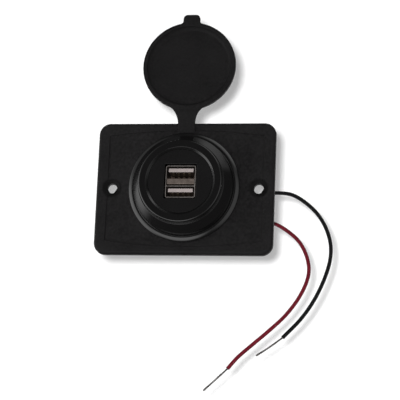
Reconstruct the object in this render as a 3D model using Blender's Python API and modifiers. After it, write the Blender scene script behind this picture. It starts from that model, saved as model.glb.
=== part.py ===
"""Twin USB-A power socket on a surface plate, with a captive rubber dust cap and two bare-ended leads.

Units are metres. The plate stands in the XZ plane and its rear face lies at Y = 0. The sockets face -Y,
the threaded barrel runs back along +Y, and +Z points to the side that the dust cap is strapped on.
The origin is on the barrel's axis.
"""

import math

import bmesh
import bpy
from mathutils import Matrix, Vector

MM = 0.001
GAP = 0.3 * MM  # running gap between pieces that seat on each other
CIRCLE_STEPS = 40
SMALL_CIRCLE_STEPS = 20
ARC_STEPS = 5

# Mounting plate
PLATE_WIDTH = 81.3 * MM
PLATE_HEIGHT = 61.0 * MM
PLATE_THICKNESS = 3.6 * MM
PLATE_CORNER = 5.2 * MM
PLATE_EDGE_ROUND = 1.5 * MM
PANEL_SIDE_BORDER = 5.2 * MM
PANEL_END_BORDER = 6.1 * MM
PANEL_BOW = 2.5 * MM
PANEL_DEPTH = 0.4 * MM
HOLE_INSET = 7.15 * MM
HOLE_RADIUS = 2.25 * MM
SINK_RADIUS = 4.4 * MM
SINK_DEPTH = 1.5 * MM

# Socket body: nose, cone, rim bead and barrel, one turned moulding around the twin connector
BORE_ROOM = 2.7 * MM  # between the connector's corners and the bore
BARREL_WALL = 1.65 * MM
BARREL_END = 36.0 * MM
BARREL_CHAMFER = 0.8 * MM
THREAD_PITCH = 2.0 * MM
THREAD_DEPTH = 0.6 * MM
THREAD_RINGS = 4  # rings of faces for each turn of the thread
THREAD_SETBACK = 1.2 * MM  # plain barrel at either end of the thread
THREAD_RUN_OUT = 1.0 * MM
FACE_SHOULDER = 2.0 * MM
FACE_BORE_DEPTH = 6.6 * MM
NOSE_REACH = 17.0 * MM  # from the plate's rear face to the front of the nose
NOSE_RIM = 4.3 * MM
NOSE_ROUND = 1.2 * MM
NOSE_WALL = 2.7 * MM
NOSE_CHAMFER = 0.5 * MM
CONE_STEP = 0.5 * MM
CONE_SPREAD = 2.7 * MM
CONE_LENGTH = 4.2 * MM
SKIRT_SPREAD = 0.7 * MM
BEAD_SPREAD = 2.4 * MM
BEAD_RADIUS = 1.05 * MM

# Dust cap, strap and ring: one rubber moulding, parted at its two fold lines
RUBBER = 0.9 * MM
RING_SETBACK = 2.8 * MM  # the ring's edge, inside the rim bead's edge
STRAP_WIDTH = 8.0 * MM
STRAP_LIFT = 0.65 * MM  # from the plate's front to the strap's back
STRAP_FLARE = 9.5 * MM
FOLD_RADIUS = 1.5 * MM
FOLD_RISE = 0.8 * MM  # the root fold, outside the rim bead's edge
TONGUE_LENGTH = 1.7 * MM  # from the cap fold to the cap's edge
STRAP_LEAN = math.radians(12.5)
CAP_LEAN = math.radians(4.3)
CAP_THICKNESS = 3.4 * MM
CAP_RECESS = 2.0 * MM
CAP_FIT = 0.6 * MM  # around the nose when the cap is shut
CAP_WALL = 1.9 * MM
CAP_CORNER = 1.4 * MM
CAP_EDGE = 0.8 * MM
CAP_LIP = 0.1 * MM
TAB_LENGTH = 3.9 * MM
TAB_WIDTH = 7.8 * MM
TAB_CORNER = 2.0 * MM
TAB_THICKNESS = 1.6 * MM
TONGUE_OVERLAP = 0.1 * MM  # how far the cap's tongue reaches below the cap fold
STRAP_SETBACK = 1.0 * MM  # how far the strap stops short of the cap fold

# Front insert and the twin connector
INSERT_SINK = 0.8 * MM
INSERT_WALL = 1.6 * MM
CONNECTOR_WIDTH = 13.4 * MM
CONNECTOR_HEIGHT = 14.6 * MM
CONNECTOR_DEPTH = 17.8 * MM
CONNECTOR_SINK = 1.2 * MM  # behind the insert's face
CONNECTOR_CORNER = 0.7 * MM
APERTURE_MARGIN = 0.8 * MM
SHELL_WALL = 0.3 * MM
PORT_SPACE = 4.3 * MM  # of the connector's height, outside its two ports
PORT_DIFFERENCE = 0.7 * MM
DIVIDER_HEIGHT = 2.6 * MM
DIVIDER_DEPTH = 6.5 * MM
TONGUE_INSET = 0.55 * MM
PLUG_ROOM = 2.26 * MM  # under each tongue of the lower port
TONGUE_TOP_GAP = 0.7 * MM
TONGUE_SINK = 0.8 * MM
INSULATOR_DEPTH = 8.4 * MM
CONTACT_PITCH = 2.4 * MM
CONTACT_WIDTH = 1.0 * MM
CONTACT_THICKNESS = 0.25 * MM
CONTACT_SETBACK = 0.7 * MM
CONTACT_RISE = 0.7 * MM
LEG_ROW_PITCH = 1.1 * MM

# Circuit board and what stands on it
BOARD_THICKNESS = 1.6 * MM
BOARD_OVERLAP = 13.4 * MM  # how far the board reaches forward under the connector
BOARD_MARGIN = 0.4 * MM
LEG_SPACE = 2.5 * MM
PART_SPACE = 0.95 * MM
SIDE_SPACE = 1.1 * MM  # between the two rows of parts
INDUCTOR_HEIGHT = 7.0 * MM
INDUCTOR_FLANGE = 1.1 * MM
INDUCTOR_WINDOW = 2.1 * MM  # depth of the winding's groove in the core
INPUT_CAN_HEIGHT = 11.0 * MM
OUTPUT_CAN_HEIGHT = 8.5 * MM
INPUT_CAN_SHARE = 0.56  # of the width that the two capacitors share
CAN_GROOVE = 0.35 * MM
FUSE_SIZE = (2.2 * MM, 5.0 * MM, 6.0 * MM)
CONVERTER_CHIP = (3.9 * MM, 4.9 * MM, 1.5 * MM)
CHARGE_CHIP = (2.9 * MM, 2.9 * MM, 1.1 * MM)
DIODE_SIZE = (2.6 * MM, 4.3 * MM, 2.1 * MM)
CHIP_FOOT = 0.8 * MM
CHIP_FOOT_HEIGHT = 0.4 * MM

# Ring nut behind the plate
NUT_WALL = 3.55 * MM
NUT_FLANGE_WALL = 5.25 * MM
NUT_FLANGE = 2.2 * MM
NUT_SEAT_DEPTH = 0.5 * MM  # the round seat for the nut in the plate's rear face
NUT_SEAT_ROOM = 0.8 * MM
NUT_LENGTH = 8.5 * MM
NUT_NOTCHES = 8
NUT_NOTCH_RADIUS = 2.0 * MM
NUT_CHAMFER = 0.6 * MM

# Rear cap, grommet and leads
REAR_PLATE = 2.0 * MM
REAR_SPIGOT = 2.8 * MM
REAR_SPIGOT_WALL = 1.5 * MM
GROMMET_NECK = 3.4 * MM
GROMMET_FLANGE = 1.4 * MM
GROMMET_LIP = 1.5 * MM
GROMMET_NOSE = 4.0 * MM
GROMMET_NOSE_RADIUS = 3.5 * MM
LEAD_RADIUS = 0.8 * MM
LEAD_SPACING = 3.0 * MM
LEAD_STEP = 4.6 * MM  # between the points of a lead
INNER_LEAD_STEP = 2.2 * MM
PAD_PITCH = 5.0 * MM
PAD_SETBACK = 3.6 * MM
LEAD_BEND = 2.4 * MM
TIP_RADIUS = 0.45 * MM
TIP_STEP = 1.4 * MM

# Routes of the two leads outside the socket, from the grommet to the end of the insulation, in mm
BLACK_ROUTE = [
    (0.0, 0.3, 0.0), (0.3, 3.4, 0.1), (2.6, 7.2, 0.6), (7.4, 9.6, 1.8), (14.0, 9.2, 3.6), (21.0, 5.8, 5.2),
    (27.5, 0.4, 6.2), (33.0, -4.8, 6.5), (38.6, -9.0, 5.9), (45.6, -11.1, 4.2), (53.0, -12.2, -0.9),
    (58.5, -13.3, -7.1), (62.3, -14.4, -14.7), (63.9, -15.5, -22.8), (62.7, -16.5, -32.1),
    (58.2, -17.6, -44.1), (51.8, -18.7, -54.8), (43.3, -20.2, -64.5),
]
BLACK_TIP = [(43.3, -20.2, -64.5), (37.4, -21.2, -69.2), (31.7, -22.0, -73.2)]
RED_ROUTE = [
    (0.0, 0.3, 0.0), (0.3, 3.2, -0.1), (2.6, 6.4, -0.4), (7.6, 8.2, -0.9), (14.2, 7.0, -1.6), (21.0, 3.6, -2.3),
    (27.2, -1.2, -3.2), (32.5, -5.8, -4.4), (37.4, -9.6, -6.3), (42.8, -11.3, -9.7), (48.3, -12.4, -14.6),
    (52.0, -13.5, -20.8), (53.9, -14.7, -28.2), (53.0, -15.9, -35.1), (49.5, -17.1, -43.1),
    (44.0, -18.3, -51.0), (37.3, -19.5, -57.9), (29.3, -20.7, -65.3), (23.3, -21.8, -71.0), (19.0, -22.8, -76.4),
]
RED_TIP = [(19.0, -22.8, -76.4), (13.8, -23.5, -81.6), (8.4, -24.0, -86.8)]

# Worked out from the sizes above
PANEL_WIDTH = PLATE_WIDTH - 2 * PANEL_SIDE_BORDER
PANEL_SIDE_HEIGHT = PLATE_HEIGHT - 2 * PANEL_END_BORDER
HOLE_PITCH = PLATE_WIDTH - 2 * HOLE_INSET
BORE_RADIUS = math.hypot(CONNECTOR_WIDTH / 2, CONNECTOR_HEIGHT / 2) + BORE_ROOM
BARREL_RADIUS = BORE_RADIUS + BARREL_WALL
FACE_BORE_RADIUS = BORE_RADIUS + FACE_SHOULDER
NOSE_RADIUS = FACE_BORE_RADIUS + NOSE_RIM
CONE_FOOT_RADIUS = NOSE_RADIUS + CONE_STEP + CONE_SPREAD
SKIRT_FOOT_RADIUS = CONE_FOOT_RADIUS + SKIRT_SPREAD
RIM_RADIUS = SKIRT_FOOT_RADIUS + BEAD_SPREAD
RING_RADIUS = RIM_RADIUS - RING_SETBACK
CAP_RECESS_RADIUS = NOSE_RADIUS + CAP_FIT
CAP_FLOOR_RADIUS = CAP_RECESS_RADIUS - CAP_CORNER
CAP_RADIUS = CAP_RECESS_RADIUS + CAP_WALL
NUT_RADIUS = BARREL_RADIUS + NUT_WALL
NUT_FLANGE_RADIUS = BARREL_RADIUS + NUT_FLANGE_WALL
NUT_SEAT_RADIUS = NUT_FLANGE_RADIUS + NUT_SEAT_ROOM
NUT_FRONT = GAP - NUT_SEAT_DEPTH
NUT_REAR = NUT_FRONT + NUT_LENGTH
PLATE_FRONT = -PLATE_THICKNESS
PANEL_FLOOR = PLATE_FRONT + PANEL_DEPTH
RING_BACK = PANEL_FLOOR - GAP
RING_FRONT = RING_BACK - RUBBER
RIM_BACK = RING_FRONT - GAP
BEAD_CENTRE = Vector((RIM_RADIUS - BEAD_RADIUS, RIM_BACK - BEAD_RADIUS))
NOSE_FRONT = -NOSE_REACH
NOSE_FOOT = NOSE_FRONT + NOSE_WALL
CONE_FOOT = NOSE_FOOT + CONE_LENGTH
FACE_BORE_FLOOR = NOSE_FRONT + FACE_BORE_DEPTH
INSERT_FRONT = NOSE_FRONT + INSERT_SINK
INSERT_RADIUS = FACE_BORE_RADIUS - GAP
INSERT_REAR = FACE_BORE_FLOOR - GAP
CONNECTOR_FRONT = INSERT_FRONT + CONNECTOR_SINK
CONNECTOR_REAR = CONNECTOR_FRONT + CONNECTOR_DEPTH
THREAD_START = GAP + THREAD_SETBACK
THREAD_END = BARREL_END - THREAD_SETBACK
UPPER_PORT_HEIGHT = (CONNECTOR_HEIGHT - PORT_SPACE + PORT_DIFFERENCE) / 2
LOWER_PORT_HEIGHT = UPPER_PORT_HEIGHT - PORT_DIFFERENCE
TONGUE_THICKNESS = LOWER_PORT_HEIGHT - TONGUE_TOP_GAP - PLUG_ROOM
TONGUE_WIDTH = CONNECTOR_WIDTH - 2 * (SHELL_WALL + GAP + TONGUE_INSET)
BOARD_TOP = -CONNECTOR_HEIGHT / 2 - GAP
REAR_PLATE_FRONT = BARREL_END + GAP
REAR_PLATE_REAR = REAR_PLATE_FRONT + REAR_PLATE
SPIGOT_FRONT = REAR_PLATE_FRONT - REAR_SPIGOT
SPIGOT_RADIUS = BORE_RADIUS - GAP
BOARD_START = CONNECTOR_REAR - BOARD_OVERLAP
BOARD_END = SPIGOT_FRONT - GAP
BOARD_HALF_WIDTH = math.sqrt((BORE_RADIUS - GAP) ** 2 - (BOARD_TOP - BOARD_THICKNESS) ** 2)
ROW_ROOM = 2 * (BOARD_HALF_WIDTH - BOARD_MARGIN) - SIDE_SPACE
INDUCTOR_RADIUS = (ROW_ROOM - CONVERTER_CHIP[0] - 2 * CHIP_FOOT) / 2
INDUCTOR_WAIST = INDUCTOR_RADIUS - INDUCTOR_WINDOW
INPUT_CAPACITOR = (ROW_ROOM * INPUT_CAN_SHARE / 2, INPUT_CAN_HEIGHT)
OUTPUT_CAPACITOR = (ROW_ROOM * (1 - INPUT_CAN_SHARE) / 2, OUTPUT_CAN_HEIGHT)
GROMMET_REAR = REAR_PLATE_REAR + GAP + GROMMET_FLANGE + GROMMET_NOSE
GROMMET_FRONT = REAR_PLATE_FRONT - GAP - GROMMET_FLANGE
FOLD_Y = PLATE_FRONT - STRAP_LIFT - RUBBER / 2 - FOLD_RADIUS
STRAP_FACE = FOLD_RADIUS - RUBBER / 2  # the strap's front, behind the fold axes

# The strap is as long as the shut cap needs, square on the nose
LIP_FACE = STRAP_FACE - CAP_LIP
ROOT_FOLD_HEIGHT = RIM_RADIUS + FOLD_RISE
FOLD_TO_CENTRE = CAP_RADIUS + TONGUE_LENGTH
SHUT_FOLD_Y = NOSE_FRONT - GAP + CAP_RECESS + LIP_FACE
STRAP_LENGTH = math.hypot(FOLD_Y - SHUT_FOLD_Y, ROOT_FOLD_HEIGHT - FOLD_TO_CENTRE)

PARTS = "twin_usb_socket"
CUTTERS = "cutters"


def clear_scene():
    for obj in list(bpy.data.objects):
        bpy.data.objects.remove(obj, do_unlink=True)
    for name in (PARTS, CUTTERS):
        old = bpy.data.collections.get(name)
        if old:
            bpy.data.collections.remove(old)
        bpy.context.scene.collection.children.link(bpy.data.collections.new(name))


def make_material(name, color, roughness, metallic=0.0):
    material = bpy.data.materials.get(name) or bpy.data.materials.new(name)
    material.use_nodes = True
    shader = material.node_tree.nodes["Principled BSDF"]
    shader.inputs["Base Color"].default_value = (*color, 1.0)
    shader.inputs["Roughness"].default_value = roughness
    shader.inputs["Metallic"].default_value = metallic
    return material


def make_materials():
    return {
        "plate": make_material("textured_plastic", (0.016, 0.015, 0.016), 0.6),
        "gloss": make_material("gloss_plastic", (0.012, 0.012, 0.013), 0.2),
        "face": make_material("satin_plastic", (0.014, 0.013, 0.014), 0.45),
        "rubber": make_material("black_rubber", (0.015, 0.014, 0.015), 0.75),
        "shell": make_material("tinned_steel", (0.55, 0.52, 0.5), 0.3, 1.0),
        "insulator": make_material("pale_insulator", (0.62, 0.58, 0.57), 0.5),
        "contact": make_material("plated_contact", (0.75, 0.6, 0.32), 0.3, 1.0),
        "board": make_material("circuit_board", (0.01, 0.09, 0.03), 0.5),
        "ferrite": make_material("ferrite", (0.03, 0.03, 0.032), 0.6),
        "copper": make_material("enamelled_copper", (0.5, 0.17, 0.06), 0.35, 1.0),
        "can": make_material("aluminium_can", (0.7, 0.7, 0.72), 0.35, 1.0),
        "chip": make_material("chip_resin", (0.02, 0.02, 0.022), 0.55),
        "fuse": make_material("fuse_resin", (0.6, 0.32, 0.03), 0.5),
        "black_wire": make_material("black_insulation", (0.012, 0.012, 0.013), 0.45),
        "red_wire": make_material("red_insulation", (0.16, 0.012, 0.022), 0.45),
        "tinned_wire": make_material("tinned_strands", (0.72, 0.7, 0.68), 0.35, 1.0),
    }


def link(obj, collection=PARTS):
    for old in list(obj.users_collection):
        old.objects.unlink(obj)
    bpy.data.collections[collection].objects.link(obj)
    return obj


def finish(obj, material, parent=None):
    link(obj)
    if not obj.data.materials:
        obj.data.materials.append(material)
    if parent:
        obj.parent = parent
    return obj


def as_cutter(obj, parent=None):
    link(obj, CUTTERS)
    obj.hide_render = True
    obj.display_type = "WIRE"
    if parent:
        obj.parent = parent
    return obj


def boolean(obj, cutter, operation="DIFFERENCE"):
    step = obj.modifiers.new(f"{operation.lower()}_{cutter.name}", "BOOLEAN")
    step.object = cutter
    step.operation = operation
    step.solver = "EXACT"
    return step


def smooth(mesh):
    mesh.shade_smooth()
    mesh.set_sharp_from_angle(angle=math.radians(30))


def axis_empty(name, location, rotation=(0.0, 0.0, 0.0), parent=None):
    empty = bpy.data.objects.new(name, None)
    empty.empty_display_size = 5 * MM
    empty.location = location
    empty.rotation_euler = rotation
    if parent:
        empty.parent = parent
    bpy.data.collections[PARTS].objects.link(empty)
    return empty


def turned(name, profile, steps=CIRCLE_STEPS, closed=True):
    """A solid of revolution about Y. The profile is (radius, y), run from +Y towards -Y down its outer side."""
    mesh = bpy.data.meshes.new(name)
    points = [(radius, 0.0, y) for radius, y in profile]
    edges = [(i, i + 1) for i in range(len(points) - 1)]
    if closed:
        edges.append((len(points) - 1, 0))
    mesh.from_pydata(points, edges, [])
    obj = bpy.data.objects.new(name, mesh)
    obj.rotation_euler = (-math.pi / 2, 0.0, 0.0)
    screw = obj.modifiers.new("turn", "SCREW")
    screw.axis = "Z"
    screw.angle = 2 * math.pi
    screw.steps = steps
    screw.render_steps = steps
    screw.use_merge_vertices = True
    screw.merge_threshold = 0.01 * MM
    screw.use_smooth_shade = True
    return obj


def arc(centre, radius, start, end, steps=ARC_STEPS):
    """Points on an arc, with its angles in degrees."""
    angles = [math.radians(start + (end - start) * i / steps) for i in range(steps + 1)]
    return [(centre[0] + radius * math.cos(a), centre[1] + radius * math.sin(a)) for a in angles]


def rounded_rectangle(width, height, corner, steps=ARC_STEPS):
    x, y = width / 2 - corner, height / 2 - corner
    points = []
    for centre, start in (((x, y), 0), ((-x, y), 90), ((-x, -y), 180), ((x, -y), 270)):
        points += arc(centre, corner, start, start + 90, steps)
    return points


def flat_solid(name, outlines, thickness):
    """A filled outline in the XZ plane, its thickness centred on Y = 0, as a welded mesh."""
    curve = bpy.data.curves.new(name, "CURVE")
    curve.dimensions = "2D"
    curve.fill_mode = "BOTH"
    curve.extrude = thickness / 2
    for outline in outlines:
        spline = curve.splines.new("POLY")
        spline.points.add(len(outline) - 1)
        for point, (x, z) in zip(spline.points, outline):
            point.co = (x, z, 0.0, 1.0)
        spline.use_cyclic_u = True
    obj = bpy.data.objects.new(name, curve)
    obj.rotation_euler = (math.pi / 2, 0.0, 0.0)
    bpy.data.collections[PARTS].objects.link(obj)
    return curve_to_mesh(obj)


def curve_to_mesh(obj):
    bpy.context.view_layer.update()
    evaluated = obj.evaluated_get(bpy.context.evaluated_depsgraph_get())
    mesh = bpy.data.meshes.new_from_object(evaluated)
    name, place = obj.name, obj.matrix_world.copy()
    bpy.data.objects.remove(obj, do_unlink=True)
    work = bmesh.new()
    work.from_mesh(mesh)
    bmesh.ops.remove_doubles(work, verts=work.verts, dist=0.001 * MM)
    bmesh.ops.recalc_face_normals(work, faces=work.faces)
    work.to_mesh(mesh)
    work.free()
    solid = bpy.data.objects.new(name, mesh)
    solid.matrix_world = place
    return solid


def block(name, low, high, corner=0.0, along="Y"):
    """A box between two corners. Its edges along one axis can be rounded."""
    size = Vector(high) - Vector(low)
    centre = (Vector(high) + Vector(low)) / 2
    work = bmesh.new()
    bmesh.ops.create_cube(work, size=1.0, matrix=Matrix.Diagonal((*size, 1.0)))
    if corner:
        way = "XYZ".index(along)
        edges = [e for e in work.edges if abs((e.verts[0].co - e.verts[1].co)[way]) > size[way] / 2]
        bmesh.ops.bevel(work, geom=edges, offset=corner, segments=2, profile=0.5, affect="EDGES")
    mesh = bpy.data.meshes.new(name)
    work.to_mesh(mesh)
    work.free()
    obj = bpy.data.objects.new(name, mesh)
    obj.location = centre
    return obj


def rods(name, places, radius, y_start, y_end, steps=SMALL_CIRCLE_STEPS, radius_start=None):
    """Round bars along Y through the (x, z) places, as one cutter. They can be tapered."""
    work = bmesh.new()
    turn = Matrix.Rotation(-math.pi / 2, 4, "X")
    first = radius if radius_start is None else radius_start
    for x, z in places:
        place = Matrix.Translation((x, (y_start + y_end) / 2, z)) @ turn
        bmesh.ops.create_cone(
            work, cap_ends=True, segments=steps, radius1=first, radius2=radius, depth=y_end - y_start, matrix=place
        )
    mesh = bpy.data.meshes.new(name)
    work.to_mesh(mesh)
    work.free()
    return as_cutter(bpy.data.objects.new(name, mesh))


def smooth_path(route, step):
    """Points about one step apart on the curve that runs smoothly through the route."""
    points = [Vector(p) for p in route]
    ends = [points[0] * 2 - points[1], *points, points[-1] * 2 - points[-2]]
    fine = [points[0]]
    for a, b, c, d in zip(ends, ends[1:], ends[2:], ends[3:]):
        for i in range(1, 17):
            t = i / 16
            fine.append(
                (b * 2 + (c - a) * t + (a * 2 - b * 5 + c * 4 - d) * t**2 + (b * 3 - a - c * 3 + d) * t**3) / 2
            )
    lengths = [0.0]
    for a, b in zip(fine, fine[1:]):
        lengths.append(lengths[-1] + (b - a).length)
    count = max(2, round(lengths[-1] / step))
    path, at = [], 0
    for i in range(count + 1):
        wanted = lengths[-1] * i / count
        while at < len(fine) - 2 and lengths[at + 1] < wanted:
            at += 1
        share = (wanted - lengths[at]) / (lengths[at + 1] - lengths[at])
        path.append(fine[at].lerp(fine[at + 1], share))
    return path


def tube(name, path, radius):
    curve = bpy.data.curves.new(name, "CURVE")
    curve.dimensions = "3D"
    curve.bevel_depth = radius
    curve.bevel_resolution = 2
    curve.use_fill_caps = True
    spline = curve.splines.new("POLY")
    spline.points.add(len(path) - 1)
    for point, place in zip(spline.points, path):
        point.co = (*place, 1.0)
    return bpy.data.objects.new(name, curve)


def panel_outline():
    """The sunk panel of the plate: straight sides, with its top and bottom bowed outwards."""
    half = PANEL_WIDTH / 2
    side = PANEL_SIDE_HEIGHT / 2
    radius = (half**2 + PANEL_BOW**2) / (2 * PANEL_BOW)
    centre = side + PANEL_BOW - radius
    spread = math.degrees(math.asin(half / radius))
    top = arc((0.0, centre), radius, 90 - spread, 90 + spread, 12)
    return top + [(-x, -z) for x, z in top]


def mounting_plate(materials):
    outline = rounded_rectangle(PLATE_WIDTH, PLATE_HEIGHT, PLATE_CORNER)
    plate = flat_solid("mounting_plate", [outline], PLATE_THICKNESS)
    plate.location.y = -PLATE_THICKNESS / 2
    work = bmesh.new()
    work.from_mesh(plate.data)
    front = [e for e in work.edges if all(v.co.z > 0 for v in e.verts) and len(e.link_faces) == 2]
    rim = [e for e in front if abs(e.link_faces[0].normal.z - e.link_faces[1].normal.z) > 0.5]
    bmesh.ops.bevel(work, geom=rim, offset=PLATE_EDGE_ROUND, segments=3, profile=0.5, affect="EDGES")
    work.to_mesh(plate.data)
    work.free()

    pocket = flat_solid("panel_cutter", [panel_outline()], 2 * PANEL_DEPTH)
    pocket.location.y = PLATE_FRONT
    holes = [(-HOLE_PITCH / 2, 0.0), (HOLE_PITCH / 2, 0.0)]
    past = PLATE_THICKNESS
    barrel_hole = rods("barrel_hole", [(0.0, 0.0)], BARREL_RADIUS + GAP, PLATE_FRONT - past, past, CIRCLE_STEPS)
    screw_holes = rods("screw_holes", holes, HOLE_RADIUS, PLATE_FRONT - past, past)
    nut_seat = rods("nut_seat", [(0.0, 0.0)], NUT_SEAT_RADIUS, -NUT_SEAT_DEPTH, past, CIRCLE_STEPS)
    slope = (SINK_RADIUS - HOLE_RADIUS) / SINK_DEPTH
    sinks = rods(
        "screw_sinks",
        holes,
        HOLE_RADIUS,
        PLATE_FRONT - SINK_DEPTH,
        PLATE_FRONT + SINK_DEPTH,
        radius_start=HOLE_RADIUS + slope * 2 * SINK_DEPTH,
    )
    for cutter in (as_cutter(pocket), barrel_hole, nut_seat, screw_holes, sinks):
        boolean(plate, cutter)
    finish(plate, materials["plate"])


def thread_cut(y, turn):
    """How deep the thread is cut at a place along the barrel and a share of a turn round it."""
    inside = min(y - THREAD_START, THREAD_END - y)
    run_out = max(0.0, min(1.0, inside / THREAD_RUN_OUT))
    crest = min(1.0, max(0.0, 2.6 * abs((y / THREAD_PITCH + turn) % 1.0 - 0.5) - 0.15))
    return THREAD_DEPTH * (1.0 - crest) * run_out


def threaded(name, profile, steps=CIRCLE_STEPS):
    """A closed ring of the (radius, y) profile about Y, with the thread wound into its barrel."""
    work = bmesh.new()
    rings = []
    for radius, y in profile:
        ring = []
        for i in range(steps):
            angle = 2 * math.pi * i / steps
            reach = radius - (thread_cut(y, i / steps) if radius == BARREL_RADIUS else 0.0)
            ring.append(work.verts.new((reach * math.cos(angle), y, reach * math.sin(angle))))
        rings.append(ring)
    for first, second in zip(rings, rings[1:] + rings[:1]):
        for i in range(steps):
            work.faces.new((first[i], first[i - 1], second[i - 1], second[i]))
    bmesh.ops.triangulate(work, faces=work.faces)
    bmesh.ops.recalc_face_normals(work, faces=work.faces)
    mesh = bpy.data.meshes.new(name)
    work.to_mesh(mesh)
    work.free()
    return bpy.data.objects.new(name, mesh)


def socket_body(materials):
    rings = round((THREAD_END - THREAD_START) / THREAD_PITCH * THREAD_RINGS)
    thread = [(BARREL_RADIUS, THREAD_END - (THREAD_END - THREAD_START) * i / rings) for i in range(rings + 1)]
    bead = arc(BEAD_CENTRE, BEAD_RADIUS, 20, -150, 8)
    nose_round = arc((NOSE_RADIUS - NOSE_ROUND, NOSE_FRONT + NOSE_ROUND), NOSE_ROUND, 0, -90, 4)
    profile = [
        (BARREL_RADIUS - BARREL_CHAMFER, BARREL_END),
        (BARREL_RADIUS, BARREL_END - BARREL_CHAMFER),
        *thread,
        (BARREL_RADIUS, RIM_BACK),
        (BEAD_CENTRE.x + BEAD_RADIUS * 0.6, RIM_BACK),
        *bead,
        (SKIRT_FOOT_RADIUS, BEAD_CENTRE.y - BEAD_RADIUS * 0.7),
        (CONE_FOOT_RADIUS, CONE_FOOT),
        (NOSE_RADIUS + CONE_STEP, NOSE_FOOT),
        (NOSE_RADIUS, NOSE_FOOT),
        *nose_round,
        (FACE_BORE_RADIUS + NOSE_CHAMFER, NOSE_FRONT),
        (FACE_BORE_RADIUS, NOSE_FRONT + NOSE_CHAMFER),
        (FACE_BORE_RADIUS, FACE_BORE_FLOOR),
        (BORE_RADIUS, FACE_BORE_FLOOR),
        (BORE_RADIUS, BARREL_END),
    ]
    finish(threaded("socket_body", profile), materials["gloss"])


def ring_nut(materials):
    bore = BARREL_RADIUS + GAP
    profile = [
        (bore + NUT_CHAMFER, NUT_REAR),
        (NUT_RADIUS - NUT_CHAMFER, NUT_REAR),
        (NUT_RADIUS, NUT_REAR - NUT_CHAMFER),
        (NUT_RADIUS, NUT_FRONT + NUT_FLANGE),
        (NUT_FLANGE_RADIUS, NUT_FRONT + NUT_FLANGE),
        (NUT_FLANGE_RADIUS, NUT_FRONT),
        (bore, NUT_FRONT),
        (bore, NUT_REAR - NUT_CHAMFER),
    ]
    nut = turned("ring_nut", profile)
    reach = NUT_RADIUS + NUT_NOTCH_RADIUS * 0.4
    turns = [2 * math.pi * (i + 0.5) / NUT_NOTCHES for i in range(NUT_NOTCHES)]
    places = [(reach * math.cos(a), reach * math.sin(a)) for a in turns]
    notches = rods("nut_notches", places, NUT_NOTCH_RADIUS, NUT_FRONT + NUT_FLANGE, 2 * NUT_LENGTH, 12)
    boolean(nut, notches)
    finish(nut, materials["plate"])


def strap_half_width(height):
    """Half the rubber's width at a height above the cap fold: the strap, then its flare into the cap."""
    half = STRAP_WIDTH / 2
    flare_x = half + STRAP_FLARE
    flare_height = FOLD_TO_CENTRE - math.sqrt((CAP_RADIUS + STRAP_FLARE) ** 2 - flare_x**2)
    if height <= flare_height:
        return half
    return flare_x - math.sqrt(STRAP_FLARE**2 - (height - flare_height) ** 2)


def flare_top():
    """The height at which the flare runs into the cap's edge."""
    flare_x = STRAP_WIDTH / 2 + STRAP_FLARE
    drop = math.sqrt((CAP_RADIUS + STRAP_FLARE) ** 2 - flare_x**2)
    return FOLD_TO_CENTRE - drop * CAP_RADIUS / (CAP_RADIUS + STRAP_FLARE)


def strap_outline(low, high, steps, shift=0.0):
    """The strap's outline between two heights above the cap fold, moved up by a shift."""
    heights = [low + (high - low) * i / steps for i in range(steps + 1)]
    right = [(strap_half_width(h), h + shift) for h in heights]
    return right + [(-x, z) for x, z in reversed(right)]


def cap_ring(materials):
    half = STRAP_WIDTH / 2
    side = math.degrees(math.acos(half / RING_RADIUS))
    stub_top = ROOT_FOLD_HEIGHT - 2 * GAP
    outline = [(half, stub_top), (-half, stub_top)]
    outline += arc((0.0, 0.0), RING_RADIUS, 180 - side, 360 + side, CIRCLE_STEPS - 4)
    hole = arc((0.0, 0.0), BARREL_RADIUS + GAP, 0, 360, CIRCLE_STEPS)[:-1]
    ring = flat_solid("cap_ring", [outline, hole], RUBBER)
    ring.location.y = (RING_BACK + RING_FRONT) / 2
    finish(ring, materials["rubber"])


def cap_strap(materials, root_fold):
    outline = strap_outline(-GAP - STRAP_LENGTH, -STRAP_SETBACK, 8, STRAP_LENGTH)
    strap = flat_solid("cap_strap", [outline], RUBBER)
    strap.location.y = FOLD_RADIUS
    finish(strap, materials["rubber"], root_fold)


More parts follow.
